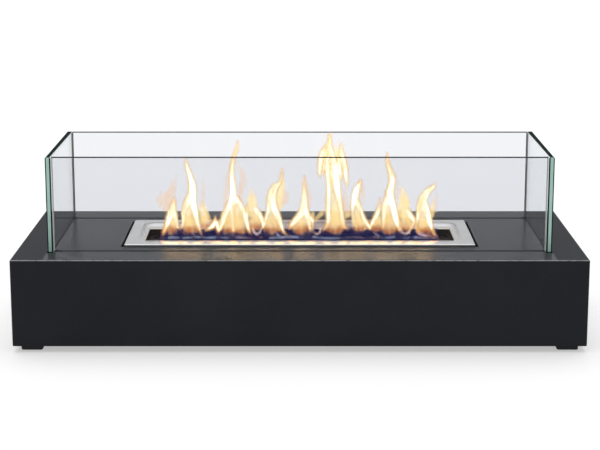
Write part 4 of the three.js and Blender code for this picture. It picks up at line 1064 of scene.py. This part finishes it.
class FIREPLACE_OT_housing(Operator):
    """Folds the housing and cuts the base plate"""

    bl_idname = "fireplace.housing"
    bl_label = "Housing"

    def execute(self, context):
        self.fold_housing(context.scene.fireplace_housing, context.scene.fireplace_burner)
        self.cut_base_plate(context.scene.fireplace_housing)
        return {"FINISHED"}

    def fold_housing(self, sizes, burner):
        bm = new_skin()
        half_x, half_y, steps = sizes.half_length, sizes.half_depth, 10

        def at(inset, z):
            radius = max(sizes.corner - inset, sizes.inner_fold)
            return ring(bm, rounded_outline(half_x - inset, half_y - inset, radius, steps), z)

        foot = reversed(quarter_turn(sizes.rim, 3))
        outer = [at(inset, sizes.wall_foot + sizes.rim - rise) for inset, rise in foot]
        fold = [at(inset, sizes.deck - sizes.fold + rise) for inset, rise in quarter_turn(sizes.fold, 12)]
        underside = sizes.deck - sizes.sheet
        inner_fold = [
            at(sizes.sheet + inset, underside - sizes.inner_fold + rise)
            for inset, rise in reversed(quarter_turn(sizes.inner_fold, 4))
        ]
        bridge(bm, *outer, *fold)
        bridge(bm, *inner_fold, at(sizes.sheet, sizes.wall_foot), outer[0])
        cut = (tray_high.x + sizes.end_gap, tray_high.y + sizes.long_gap, burner.corner + sizes.long_gap)
        outlines = [(*cut, (0.0, 0.0), 8), *self.glass_slots(sizes)]
        tops, rounded, undersides = rimmed_holes(bm, outlines, sizes.deck, underside, sizes.rim)
        fill(bm, fold[-1], tops)
        fill(bm, inner_fold[0], undersides, up=False)
        # The folds get the full edge mask, a painted highlight; the holes' rims get a quarter of it.
        on_folds, on_holes = 1.0, 0.25
        mark_edges(bm, [*((each, on_folds) for each in fold[4:9]), *((each, on_holes) for each in rounded)])
        finish_piece(bm, "folded_housing", "housing", ["powder coat"], "housing")

    def glass_slots(self, sizes):
        """Outlines of the slots for the front, back, right and left panes."""
        half_slot = (front_pane_high.y - front_pane_low.y) / 2 + sizes.clearance
        long_slot = front_pane_high.x - scene().fireplace_glass.notch + sizes.clearance
        side_slot = right_pane_high.y + sizes.overrun
        _, pane_y = middle(front_pane_low, front_pane_high)
        pane_x, _ = middle(right_pane_low, right_pane_high)
        slots = [(long_slot, half_slot, sizes.slot_corner, (0.0, y), 3) for y in (pane_y, -pane_y)]
        return slots + [(half_slot, side_slot, sizes.slot_corner, (x, 0.0), 3) for x in (pane_x, -pane_x)]

    def cut_base_plate(self, sizes):
        bm = new_skin()
        half_x, half_y, rim = base_high.x, base_high.y, sizes.base_rim
        screws = [f"base_screw_{number}" for number in SIX] + [f"foot_screw_{corner}" for corner in CORNERS]
        hole = (sizes.screw_hole, sizes.screw_hole, sizes.screw_hole - SLIVER)
        outlines = [(*hole, middle(*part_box(name)), 6) for name in screws]
        vent = (sizes.vent_length, sizes.vent_width, sizes.vent_width - SLIVER)
        for side in (-1, 1):
            for i in rank(VENTS_IN_ROW):
                outlines.append((*vent, (sizes.vent_pitch * i, sizes.vent_row * side), 6))
        tops, _, undersides = rimmed_holes(bm, outlines, base_high.z, base_low.z, rim, 2)

        def at(inset, z):
            return ring(bm, rounded_outline(half_x - inset, half_y - inset, sizes.corner - inset, 6), z)

        edge = [at(inset, base_high.z - rim + rise) for inset, rise in quarter_turn(rim, 2)]
        foot = at(0.0, base_low.z)
        bridge(bm, foot, *edge)
        fill(bm, edge[-1], tops)
        fill(bm, foot, undersides, up=False)
        mark_edges(bm)
        finish_piece(bm, "vented_base_plate", "housing", ["powder coat"], "base_plate")


# ------------------------------------------------------------------ glass


class FIREPLACE_OT_glass(Operator):
    """Cuts the four panes and grinds their edges"""

    bl_idname = "fireplace.glass"
    bl_label = "Glass"

    def execute(self, context):
        glass = context.scene.fireplace_glass
        deck = context.scene.fireplace_housing.deck
        for place in PLACES:
            low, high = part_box(f"pane_{place}")
            if place in ("front", "back"):
                tongue, shoulder = high.x - glass.notch, deck + glass.lift
                end = high.x + glass.reach
                half = [(tongue, low.z), (tongue, shoulder), (end, shoulder), (end, high.z)]
                outline = [Vector((x, low.y, z)) for x, z in half + [(-x, z) for x, z in reversed(half)]]
                across = Vector((0.0, high.y - low.y, 0.0))
            else:
                corners = ((high.y, low.z), (high.y, high.z), (low.y, high.z), (low.y, low.z))
                outline = [Vector((low.x, y, z)) for y, z in corners]
                across = Vector((high.x - low.x, 0.0, 0.0))
            self.cut_pane(place, outline, across, glass, deck - glass.lift)
        return {"FINISHED"}

    def cut_pane(self, place, outline, across, glass, bedding):
        """Below the bedding level the pane's large faces carry the tape that it stands in."""
        bm = new_skin()
        near = [bm.verts.new(point) for point in outline]
        far = [bm.verts.new(point + across) for point in outline]
        bm.faces.new(near)
        bm.faces.new(far[::-1])
        for i in range(len(outline)):
            j = (i + 1) % len(outline)
            bm.faces.new((near[j], near[i], far[i], far[j]))
        bmesh.ops.recalc_face_normals(bm, faces=bm.faces)
        side = place in ("left", "right")
        clear, ground, end, far_end, painted_arris, bedded = range(6)
        square = 0.9
        for face in bm.faces:
            if abs(face.normal.dot(across.normalized())) < square:
                back = far_end if face.normal.y > square else end
                face.material_index = ground if abs(face.normal.z) > square else back
        crown = max(point.z for point in outline)

        def grind(edges, width, finish):
            cut = bmesh.ops.bevel(bm, geom=edges, offset=width, segments=1, affect="EDGES")
            for face in cut["faces"]:
                face.material_index = finish

        uprights = [
            edge for edge in bm.edges if abs(edge.verts[0].co.z - edge.verts[1].co.z) > glass.least_upright
        ]
        ahead = [edge for edge in uprights if edge.verts[0].co.y < 0]
        # The front pane's front edges and the side panes' tops get the pale arris, a painted highlight line.
        grind(ahead, glass.side_arris if side else glass.end_arris, painted_arris if place == "front" else ground)
        grind([edge for edge in uprights if edge not in ahead], glass.arris, ground)
        rim = [edge for edge in bm.edges if min(vert.co.z for vert in edge.verts) > crown - MM]
        long_edges = [edge for edge in rim if edge.calc_length() > glass.least_top]
        grind(long_edges, glass.top_arris if side else glass.arris, painted_arris if side else ground)
        whole = [*bm.verts, *bm.edges, *bm.faces]
        bmesh.ops.bisect_plane(bm, geom=whole, plane_co=(0.0, 0.0, bedding), plane_no=(0.0, 0.0, 1.0))
        for face in bm.faces:
            if face.calc_center_median().z < bedding:
                face.material_index = bedded if face.material_index == clear else ground
        pale = "green glass end" if side else "pale glass end"
        finishes = ["clear glass", "ground glass", pale, "grey glass end", "polished arris", "bedding tape"]
        body, solid = f"{place}_pane", f"pane_{place}"
        pane = finish_piece(bm, f"glass_{place}", body, finishes, solid, even=False)
        pane.visible_shadow = False
        pane.visible_diffuse = False


# ------------------------------------------------------------------ burner


def bell(distance_off, width):
    return math.exp(-((distance_off / width) ** 2))


class FIREPLACE_OT_burner(Operator):
    """Presses the tray, welds the tank and slots the screen"""

    bl_idname = "fireplace.burner"
    bl_label = "Burner"

    def execute(self, context):
        burner = context.scene.fireplace_burner
        self.press_tray(burner)
        self.weld_tank(burner)
        self.slot_screen(burner)
        return {"FINISHED"}

    def slope_share(self, run, bend):
        """Height of the pressed slope at a share of its run: straight between two bends."""
        if run < bend:
            return run * run / (2 * bend * (1 - bend))
        if run > 1 - bend:
            return 1 - (1 - run) * (1 - run) / (2 * bend * (1 - bend))
        return (run - bend / 2) / (1 - bend)

    def press_tray(self, sizes):
        half_x, half_y, top, foot = tray_high.x, tray_high.y, tray_high.z, tray_low.z
        bm = new_skin()
        # Mask for the painted highlight at the recess's back corners.
        painted_highlight = bm.verts.layers.float.new("painted_highlight")
        steps, least_radius = 14, 0.1 * MM
        recess_x, recess_y = half_x - sizes.border, half_y - sizes.border
        mouth_x, mouth_y = recess_x - sizes.end_run, recess_y - sizes.side_run
        mouth, skirt_foot = top - sizes.drop, top - sizes.skirt

        def loop(x, y, radius, z):
            return ring(bm, rounded_outline(x, y, max(radius, least_radius), steps), z)

        def flange(inset, z):
            return loop(half_x - inset, half_y - inset, sizes.corner - inset, z)

        def slope(inset, depth, runs):
            end_x, end_y, end_radius = mouth_x + inset, mouth_y + inset, sizes.mouth_corner + inset
            rings = []
            for run in runs:
                x = recess_x + (end_x - recess_x) * run
                y = recess_y + (end_y - recess_y) * run
                radius = sizes.recess_corner + (end_radius - sizes.recess_corner) * run
                z = top - depth - self.slope_share(run, sizes.bend) * sizes.drop
                rings.append(loop(x, y, radius, z))
            return rings

        def neck(inset, z):
            return loop(mouth_x + inset, mouth_y + inset, sizes.mouth_corner + inset, z)

        rim = [flange(inset, top - sizes.edge + rise) for inset, rise in quarter_turn(sizes.edge, 6)]
        flat = sizes.edge + sizes.hold
        rim.append(loop(half_x - flat, half_y - flat, sizes.corner, top))
        rim.append(loop(recess_x + sizes.hold, recess_y + sizes.hold, sizes.recess_corner + sizes.hold, top))
        runs = [i / 24 for i in range(25)]
        upper = slope(sizes.lip, 0.0, runs)
        turn = reversed(quarter_turn(sizes.lip, 6)[:-1])
        lip = [neck(inset, mouth - sizes.lip + rise) for inset, rise in turn]
        necks = [neck(0.0, foot), neck(sizes.sheet, foot)]
        lower = slope(sizes.sheet, sizes.sheet, [i / 8 for i in range(9)])[::-1]
        inner = [flange(sizes.sheet, top - sizes.sheet), flange(sizes.sheet, skirt_foot)]
        outer_foot = flange(0.0, skirt_foot)
        bridge(bm, outer_foot, *rim, *upper, *lip, *necks, *lower, *inner, outer_foot)
        # The edge mask paints dark shade on the recess's bends and on the flange's turned-down ends.
        bend = bm.verts.layers.float["edge"]
        self.mark_sheen(zip(runs, upper), bend, painted_highlight, recess_y, mouth_x)
        for each in rim[:4]:
            for vert in each:
                if abs(vert.co.x) > half_x - sizes.edge:
                    vert[bend] = 1.0
        mark_edges(bm)
        finish_piece(bm, "pressed_tray", "burner", ["brushed stainless"], "burner_tray")

    def mark_sheen(self, rings, bend, painted_highlight, recess_y, mouth_x):
        """Marks a painted highlight on the recess and painted shade on its bends, more so towards the back.
        """
        shine_inset, shine_width, end_blend = 10 * MM, 16 * MM, 8 * MM
        for run, each in rings:
            for vert in each:
                past_mouth = abs(vert.co.x) - mouth_x
                back = min(max(0.5 + vert.co.y / recess_y, 0.0), 1.0)
                swell = math.sin(math.pi * min(run * 1.1, 1.0)) ** 2
                vert[painted_highlight] = bell(past_mouth + shine_inset, shine_width) * back * swell
                end = min(max(past_mouth / end_blend + 0.5, 0.0), 1.0)
                place, width = 0.16 + 0.16 * end, 0.13 + 0.19 * end
                vert[bend] = back * bell(run - place, width)

    def weld_tank(self, sizes):
        half_x, half_y, low, high = tank_high.x, tank_high.y, tank_low.z, tank_high.z
        bm = new_skin()
        steps, least_radius = 10, 0.4 * MM

        def loop(inset, z):
            radius = max(sizes.tank_corner - inset, least_radius)
            return ring(bm, rounded_outline(half_x - inset, half_y - inset, radius, steps), z)

        bend = quarter_turn(sizes.tank_floor, 8)
        floor = [loop(inset, low + sizes.tank_floor - rise) for inset, rise in reversed(bend)]
        weld = []
        for i in range(9):
            swell = math.sin(math.pi * i / 8)
            weld.append(loop(-sizes.bead * swell, high + sizes.bead_rise - sizes.bead_width * (1 - i / 8)))
        rim = loop(0.0, high)
        inner_rim = loop(sizes.sheet, high)
        inner_radius = sizes.tank_floor - sizes.sheet
        inner_floor = [
            loop(sizes.sheet + inset, low + sizes.sheet + inner_radius - rise)
            for inset, rise in quarter_turn(inner_radius, 5)
        ]
        bridge(bm, *floor, *weld, rim, inner_rim, *inner_floor)
        fill(bm, floor[0], up=False)
        fill(bm, inner_floor[-1])
        mark_edges(bm)
        finish_piece(bm, "welded_tank", "burner", ["tank stainless"], "fuel_tank")

    def slot_screen(self, sizes):
        bm = new_skin()
        mouth_x = tray_high.x - sizes.border - sizes.end_run
        mouth_y = tray_high.y - sizes.border - sizes.side_run
        slot = (sizes.slot_length, sizes.slot_width, sizes.slot_width - SLIVER)
        outlines = []
        for row in rank(SCREEN_ROWS):
            for i in rank(SCREEN_SLOTS):
                centre = (2 * mouth_x / SCREEN_SLOTS * i, 2 * mouth_y / SCREEN_ROWS * row)
                outlines.append((*slot, centre, 5))
        tops, _, undersides = rimmed_holes(bm, outlines, screen_high.z, screen_low.z, sizes.screen_rim, 2)
        outline = rounded_outline(screen_high.x, screen_high.y, sizes.tank_corner, 6)
        top, foot = ring(bm, outline, screen_high.z), ring(bm, outline, screen_low.z)
        bridge(bm, foot, top)
        fill(bm, top, tops)
        fill(bm, foot, undersides, up=False)
        mark_edges(bm)
        finish_piece(bm, "slotted_screen", "burner", ["sooted steel"], "wick_screen")


# ------------------------------------------------------------------ feet and fasteners


class FIREPLACE_OT_fittings(Operator):
    """Moulds the feet and turns the screws and nuts"""

    bl_idname = "fireplace.fittings"
    bl_label = "Feet and fasteners"

    def execute(self, context):
        sizes = context.scene.fireplace_fittings
        for corner in CORNERS:
            self.mould_foot(sizes, f"foot_{corner}")
            self.turn_screw(sizes, f"foot_screw_{corner}")
            self.cut_nut(sizes, f"foot_nut_{corner}")
        for number in SIX:
            self.turn_screw(sizes, f"base_screw_{number}")
        return {"FINISHED"}

    def mould_foot(self, sizes, name):
        low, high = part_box(name)
        centre = middle(low, high)
        half, edge, crown = (high.x - low.x) / 2, sizes.foot_edge, sizes.foot_crown
        ledge = low.z + sizes.foot_ledge
        bm = new_skin()

        def block(inset, z):
            return ring(bm, rounded_outline(half - inset, half - inset, 2 * edge - inset, 8), z, centre)

        sides = [block(inset, low.z + edge - rise) for inset, rise in reversed(quarter_turn(edge, 6))]
        sides += [block(inset, high.z - crown + rise) for inset, rise in quarter_turn(crown, 3)]
        bore, sink = circle(sizes.foot_bore, 32), circle(sizes.foot_sink, 32)
        hole = [ring(bm, bore, high.z, centre), ring(bm, bore, ledge, centre)]
        hole += [ring(bm, sink, ledge, centre), ring(bm, sink, low.z, centre)]
        bridge(bm, *sides)
        bridge(bm, *hole)
        fill(bm, sides[0], [hole[-1]], up=False)
        fill(bm, sides[-1], [hole[0]])
        mark_edges(bm)
        finish_piece(bm, f"moulded_{name}", "housing", ["black rubber"], name)

    def turn_screw(self, sizes, name):
        low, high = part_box(name)
        centre, count = middle(low, high), 36
        bm = new_skin()

        def turned(radius, z):
            return ring(bm, circle(radius, count), z, centre)

        socket = hexagon(sizes.socket, count)
        rings = [ring(bm, socket, low.z + depth, centre) for depth in (sizes.socket_depth, 0.0)]
        for inset, rise in reversed(quarter_turn(sizes.dome, 8)):
            rings.append(turned(sizes.head - inset, low.z + sizes.dome - rise))
        z, deep = low.z + sizes.head_height, False
        rings.append(turned(sizes.head, z))
        while z < high.z - sizes.pitch:
            rings.append(turned(sizes.root if deep else sizes.crest, z))
            z, deep = z + sizes.pitch / 2, not deep
        rings.append(turned(sizes.root - sizes.point, high.z))
        bridge(bm, *rings)
        fill(bm, rings[0], up=False)
        fill(bm, rings[-1])
        mark_edges(bm)
        finish_piece(bm, f"turned_{name}", "housing", ["bright zinc"], name)

    def cut_nut(self, sizes, name):
        low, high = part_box(name)
        centre, count = middle(low, high), 36
        bore, collar = circle(sizes.nut_bore, count), circle(sizes.nut_collar, count)
        flats = hexagon(sizes.nut_flats, count)
        profile = (
            (bore, low.z),
            (collar, low.z),
            (flats, low.z + sizes.nut_chamfer),
            (flats, high.z - sizes.nut_chamfer),
            (collar, high.z),
            (bore, high.z),
        )
        bm = new_skin()
        rings = [ring(bm, outline, z, centre) for outline, z in profile]
        bridge(bm, *rings, rings[0])
        mark_edges(bm)
        finish_piece(bm, f"cut_{name}", "housing", ["bright zinc"], name)


# ------------------------------------------------------------------ flames


def strand_field(strands, shape, deck, step, point):
    """Distance to the skin of a bundle of strands on a grid of points, and how near its tip each is.

    A strand that ends thinner than the point has a tip. Any other runs on into its neighbour."""
    reach = 3 * shape.glow + shape.blend
    tip_start = 0.55
    deep = np.array((1.0, shape.deepening, 1.0))
    lines = [np.array(strand) * MM + (0.0, 0.0, deck, 0.0) for strand in strands]
    points = np.concatenate(lines)
    margin = points[:, 3:] * deep + reach + 2 * step
    low, high = (points[:, :3] - margin).min(0), (points[:, :3] + margin).max(0)
    axes = [np.arange(first, last + step, step) for first, last in zip(low, high)]
    field = np.full([len(axis) for axis in axes], 4 * reach, np.float32)
    tips = np.zeros_like(field)
    for line in lines:
        lengths = np.linalg.norm(np.diff(line[:, :3], axis=0), axis=1)
        along = np.concatenate(([0.0], np.cumsum(lengths))) / lengths.sum()
        pointed = float(line[-1, 3] < point)
        for i in range(len(line) - 1):
            start, start_width, end, end_width = line[i, :3], line[i, 3], line[i + 1, :3], line[i + 1, 3]
            room = (max(start_width, end_width) + reach) * deep
            ends = zip(axes, np.minimum(start, end) - room, np.maximum(start, end) + room)
            block = tuple(slice(*np.searchsorted(axis, pair)) for axis, *pair in ends)
            grid = np.stack(np.meshgrid(*(axis[s] for axis, s in zip(axes, block)), indexing="ij"), -1)
            run, place = (end - start) / deep, (grid - start) / deep
            part = np.clip(place @ run / max(run @ run, 1e-12), 0.0, 1.0)
            width = start_width + part * (end_width - start_width)
            gap = np.linalg.norm(place - part[..., None] * run, axis=-1) - width
            old = field[block]
            passed = along[i] + part * (along[i + 1] - along[i])
            mark = np.clip((passed - tip_start) / (1 - tip_start), 0.0, 1.0) * pointed
            tips[block] = np.where(gap < old, mark, tips[block])
            overlap = np.maximum(shape.blend - np.abs(old - gap), 0.0) / shape.blend
            field[block] = np.minimum(old, gap) - overlap * overlap * shape.blend / 4
    return low, step, field, tips


def foot_field(shape, deck, step):
    """The low sheet of cool gas that fills the mouth: flat below and wavy on top."""
    half_x, half_y = shape.foot_length, shape.foot_depth
    height, swell, fall, ragged = 2.6 * MM, 1.1 * MM, 2.4 * MM, 2.0 * MM
    low = np.array((-half_x, -half_y, deck - shape.foot_sunk)) - 3 * step
    high = np.array((half_x, half_y, deck + shape.foot_rise)) + 3 * step
    axes = [np.arange(first, last + step, step) for first, last in zip(low, high)]
    x, y, z = np.meshgrid(*axes, indexing="ij")
    long_waves = np.sin(x / (7.3 * MM) + 1.3 * np.sin(y / (9 * MM)))
    short_waves = 0.8 * np.sin(x / (4.1 * MM) + y / (6 * MM) + 2.0)
    top = deck + height + swell * (long_waves + short_waves) - fall * (y / half_y) ** 2
    ends = np.abs(x) - half_x + ragged * np.sin(z / (2.2 * MM) + y / (5 * MM))
    field = np.maximum.reduce([ends, np.abs(y) - half_y, z - top, deck - shape.foot_sunk - z])
    return low, step, field.astype(np.float32), np.zeros(field.shape, np.float32)


def cell_corners(value):
    """The mean place in a cell where the value changes sign on its edges, and which cells have one."""
    cells = [n - 1 for n in value.shape]
    total, count = np.zeros((*cells, 3)), np.zeros(cells)
    sides = (slice(0, -1), slice(1, None))
    for axis in range(3):
        others = [n for n in range(3) if n != axis]
        for pair in ((0, 0), (0, 1), (1, 0), (1, 1)):
            start, end = [sides[0]] * 3, [sides[1]] * 3
            for other, side in zip(others, pair):
                start[other] = end[other] = sides[side]
            first, second = value[tuple(start)], value[tuple(end)]
            crossed = (first < 0) != (second < 0)
            total[..., axis] += np.where(crossed, first / np.where(crossed, first - second, 1.0), 0.0)
            for other, side in zip(others, pair):
                total[..., other] += np.where(crossed, side, 0)
            count += crossed
    used = count > 0
    return total[used] / count[used][:, None], used


def skin_field(origin, step, field, level):
    """Wraps the points of a grid whose value is under a level in four-sided faces, a corner in each cell."""
    value = field - level
    within = value < 0
    offsets, used = cell_corners(value)
    number = np.full(used.shape, -1, np.int64)
    number[used] = np.arange(used.sum())
    index = np.argwhere(used)
    quads = []
    for axis in range(3):
        one, two = (axis + 1) % 3, (axis + 2) % 3
        here = [slice(1, -1)] * 3
        here[axis] = slice(0, -1)
        there = list(here)
        there[axis] = slice(1, None)
        leaves = within[tuple(here)] & ~within[tuple(there)]
        enters = ~within[tuple(here)] & within[tuple(there)]
        for crossed, order in ((leaves, (0, 1, 2, 3)), (enters, (3, 2, 1, 0))):
            place = np.argwhere(crossed)
            place[:, (one, two)] += 1
            around = []
            for back in ((1, 1), (0, 1), (0, 0), (1, 0)):
                cell = place.copy()
                cell[:, (one, two)] -= back
                around.append(number[tuple(cell.T)])
            quads.append(np.stack([around[i] for i in order], -1))
    return origin + (index + offsets) * step, np.concatenate(quads), index


class FIREPLACE_OT_flames(Operator):
    """Skins the flames round their strands, in layers from the white heart to the glow"""

    bl_idname = "fireplace.flames"
    bl_label = "Flames"

    def execute(self, context):
        shape = context.scene.fireplace_flames
        deck = context.scene.fireplace_housing.deck
        licks = [self.lick(strand, number) for number, strand in enumerate(HOT_STRANDS) if len(strand) > 6]

        def bundle(strands, coarseness, point=shape.point):
            return strand_field(strands, shape, deck, shape.grid * coarseness, point)

        inset, glow = shape.heart_inset, shape.glow
        hot = bundle(HOT_STRANDS, 1.0)
        self.skin_layers("flame_hearts", hot, inset, (-2.6, -1.7))
        self.skin_layers("flame_cores", hot, inset, (-1.0, -0.3))
        self.skin_layers("flame_mantles", hot, glow, (0.15, 0.55))
        self.skin_layers("flame_rims", hot, glow, (0.95, 1.4))
        self.skin_layers("flame_halos", hot, glow, (1.9, 2.5))
        self.skin_layers("flame_wisps", bundle(WARM_STRANDS, 1.3), glow, (-1.6, -0.8, 0.0, 0.8, 1.6))
        self.skin_layers("flame_veils", bundle(VEIL_STRANDS, 1.5), glow, (-2.0, -1.0, 0.0, 1.0))
        hollow = bundle(HOLLOW_STRANDS, 1.5, shape.hollow_point)
        self.skin_layers("flame_hollows", hollow, glow, (-1.8, -0.9), mirrored=False)
        self.skin_layers("flame_linings", hollow, glow, (0.0, 0.9, 1.8), mirrored=False)
        self.skin_layers("flame_licks", bundle(licks, 1.0), glow, (-0.2, 0.4, 1.0))
        haze = bundle(HAZE_STRANDS, 2.0)
        self.skin_layers("flame_hazes", haze, glow, (-3.0, -1.5, 0.0, 1.5), mirrored=False)
        self.skin_layers("flame_threads", bundle(THREAD_STRANDS, 0.8), glow, (-0.2, 0.4, 0.9))
        self.skin_layers("flame_curls", bundle(CURL_AND_LIP_GLINT_STRANDS, 0.8), glow, (-0.2, 0.3, 0.8))
        foot = foot_field(shape, deck, shape.grid * 1.3)
        self.skin_layers("flame_foot", foot, glow, (-1.2, 0.0, 1.0), mirrored=False)
        return {"FINISHED"}

    def lick(self, strand, number):
        """A thin yellow strand that runs up the front of a bright flame, to one side of its middle."""
        aside, ahead, gap, width = 0.35 if number % 2 else -0.35, 1.4, 0.6, 0.3
        return [(x + aside * w, y - ahead * w - gap, z, width * w) for x, y, z, w in strand[1:-1]]

    def skin_layers(self, name, grid, unit, levels, mirrored=True):
        """Skins the field at each level. The skins lie inside each other and make the edge soft."""
        origin, step, field, tips = grid
        verts, quads, marks = [], [], []
        for level in levels:
            places, corners, index = skin_field(origin, step, field, level * unit)
            quads.append(corners + sum(len(each) for each in verts))
            verts.append(places)
            marks.append(tips[tuple(index.T)])
        mesh = bpy.data.meshes.new(name)
        mesh.from_pydata(np.concatenate(verts).tolist(), [], np.concatenate(quads).tolist())
        mark = mesh.attributes.new("tip", "FLOAT", "POINT")
        mark.data.foreach_set("value", np.concatenate(marks).astype(np.float32))
        mesh.shade_smooth()
        finish = name.replace("_", " ").removesuffix("s")
        mesh.materials.append(bpy.data.materials[finish])
        piece = bpy.data.objects.new(name, mesh)
        scene().collection.objects.link(piece)
        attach(piece, "burner")
        piece.visible_shadow = False
        piece.visible_diffuse = False
        piece.visible_glossy = mirrored


# ------------------------------------------------------------------ stage


class FIREPLACE_OT_stage(Operator):
    """Lays the floor and sets the soft light and the camera"""

    bl_idname = "fireplace.stage"
    bl_label = "Stage"

    def execute(self, context):
        studio = context.scene.fireplace_studio
        self.lay_floor(studio)
        self.light_room(context, studio)
        self.hang_lamp("top_lamp", studio.key, spread=62, turn=(-14, 0, 8))
        self.hang_lamp("front_lamp", studio.rear, spread=50, turn=(38, 0, -28))
        self.set_camera(context, studio)
        context.scene.view_settings.view_transform = "Standard"
        context.scene.cycles.caustics_reflective = False
        context.scene.cycles.caustics_refractive = False
        context.scene.cycles.transparent_max_bounces = 96
        return {"FINISHED"}

    def lay_floor(self, studio):
        bm = bmesh.new()
        bmesh.ops.create_grid(bm, x_segments=8, y_segments=8, size=studio.floor)
        mesh = bpy.data.meshes.new("floor")
        bm.to_mesh(mesh)
        bm.free()
        material, tree, shader = new_material("pale floor")
        cloud = noise(tree, object_place(tree), 3.0, 3.0)
        inputs = {
            "Base Color": mix_colours(tree, cloud, (0.575, 0.575, 0.58), (0.585, 0.585, 0.585)),
            "Roughness": 0.7,
            "Specular IOR Level": 0.2,
            "Emission Color": (1.0, 1.0, 1.0),
            "Emission Strength": times(tree, seen_rays(tree), 0.45),
        }
        feed(tree, shader.inputs, inputs)
        mesh.materials.append(material)
        floor = bpy.data.objects.new("floor", mesh)
        scene().collection.objects.link(floor)

    def light_room(self, context, studio):
        world = bpy.data.worlds.new("studio")
        world.use_nodes = True
        tree = world.node_tree
        level = span(tree, seen_rays(tree), 0.0, 1.0, studio.sky, 1.0, "LINEAR")
        feed(tree, tree.nodes["Background"].inputs, {"Color": (1.0, 1.0, 1.0), "Strength": level})
        context.scene.world = world

    def hang_lamp(self, name, strength, spread, turn):
        """A sun lamp, with its spread and turn in degrees."""
        lamp = bpy.data.lights.new(name, "SUN")
        lamp.energy = strength
        lamp.angle = math.radians(spread)
        holder = bpy.data.objects.new(name, lamp)
        holder.rotation_euler = [math.radians(angle) for angle in turn]
        scene().collection.objects.link(holder)

    def set_camera(self, context, studio):
        eye = bpy.data.cameras.new("camera")
        eye.lens = studio.lens
        camera = bpy.data.objects.new("camera", eye)
        camera.location = studio.camera_place
        camera.rotation_euler = (math.pi / 2 - studio.camera_tilt, 0.0, 0.0)
        scene().collection.objects.link(camera)
        context.scene.camera = camera


def seen_rays(tree):
    """1 for rays from the camera, a gloss or glass, and 0 for the rest."""
    path = add_node(tree, "ShaderNodeLightPath")
    mirrored = maths(tree, "MAXIMUM", path.outputs["Is Glossy Ray"], path.outputs["Is Transmission Ray"])
    return maths(tree, "MAXIMUM", path.outputs["Is Camera Ray"], mirrored)


# ------------------------------------------------------------------ panel and start


class FIREPLACE_PT_panel(Panel):
    """Steps and sizes of the fireplace"""

    bl_idname = "FIREPLACE_PT_panel"
    bl_label = "Fireplace"
    bl_space_type = "VIEW_3D"
    bl_region_type = "UI"
    bl_category = "Fireplace"

    def draw(self, context):
        for step in STEPS:
            self.layout.operator(step.bl_idname)
        for name, group in GROUPS.items():
            box = self.layout.box()
            for key in group.__annotations__:
                box.prop(getattr(context.scene, name), key)


GROUPS = {
    "fireplace_housing": HousingSizes,
    "fireplace_glass": GlassSizes,
    "fireplace_burner": BurnerSizes,
    "fireplace_fittings": FittingSizes,
    "fireplace_flames": FlameShape,
    "fireplace_studio": StudioSettings,
    "fireplace_finish": FinishColours,
}
STEPS = (
    FIREPLACE_OT_stage,
    FIREPLACE_OT_finishes,
    FIREPLACE_OT_housing,
    FIREPLACE_OT_glass,
    FIREPLACE_OT_burner,
    FIREPLACE_OT_fittings,
    FIREPLACE_OT_flames,
)


def register():
    for item in (*GROUPS.values(), *STEPS, FIREPLACE_PT_panel):
        bpy.utils.register_class(item)
    for name, group in GROUPS.items():
        setattr(bpy.types.Scene, name, PointerProperty(type=group))


def unregister():
    for name in GROUPS:
        delattr(bpy.types.Scene, name)
    for item in (FIREPLACE_PT_panel, *STEPS[::-1], *GROUPS.values()):
        bpy.utils.unregister_class(item)


def main():
    register()
    bpy.ops.fireplace.stage()
    bpy.ops.fireplace.finishes()
    bpy.ops.fireplace.housing()
    bpy.ops.fireplace.glass()
    bpy.ops.fireplace.burner()
    bpy.ops.fireplace.fittings()
    bpy.ops.fireplace.flames()


if __name__ == "__main__":
    main()
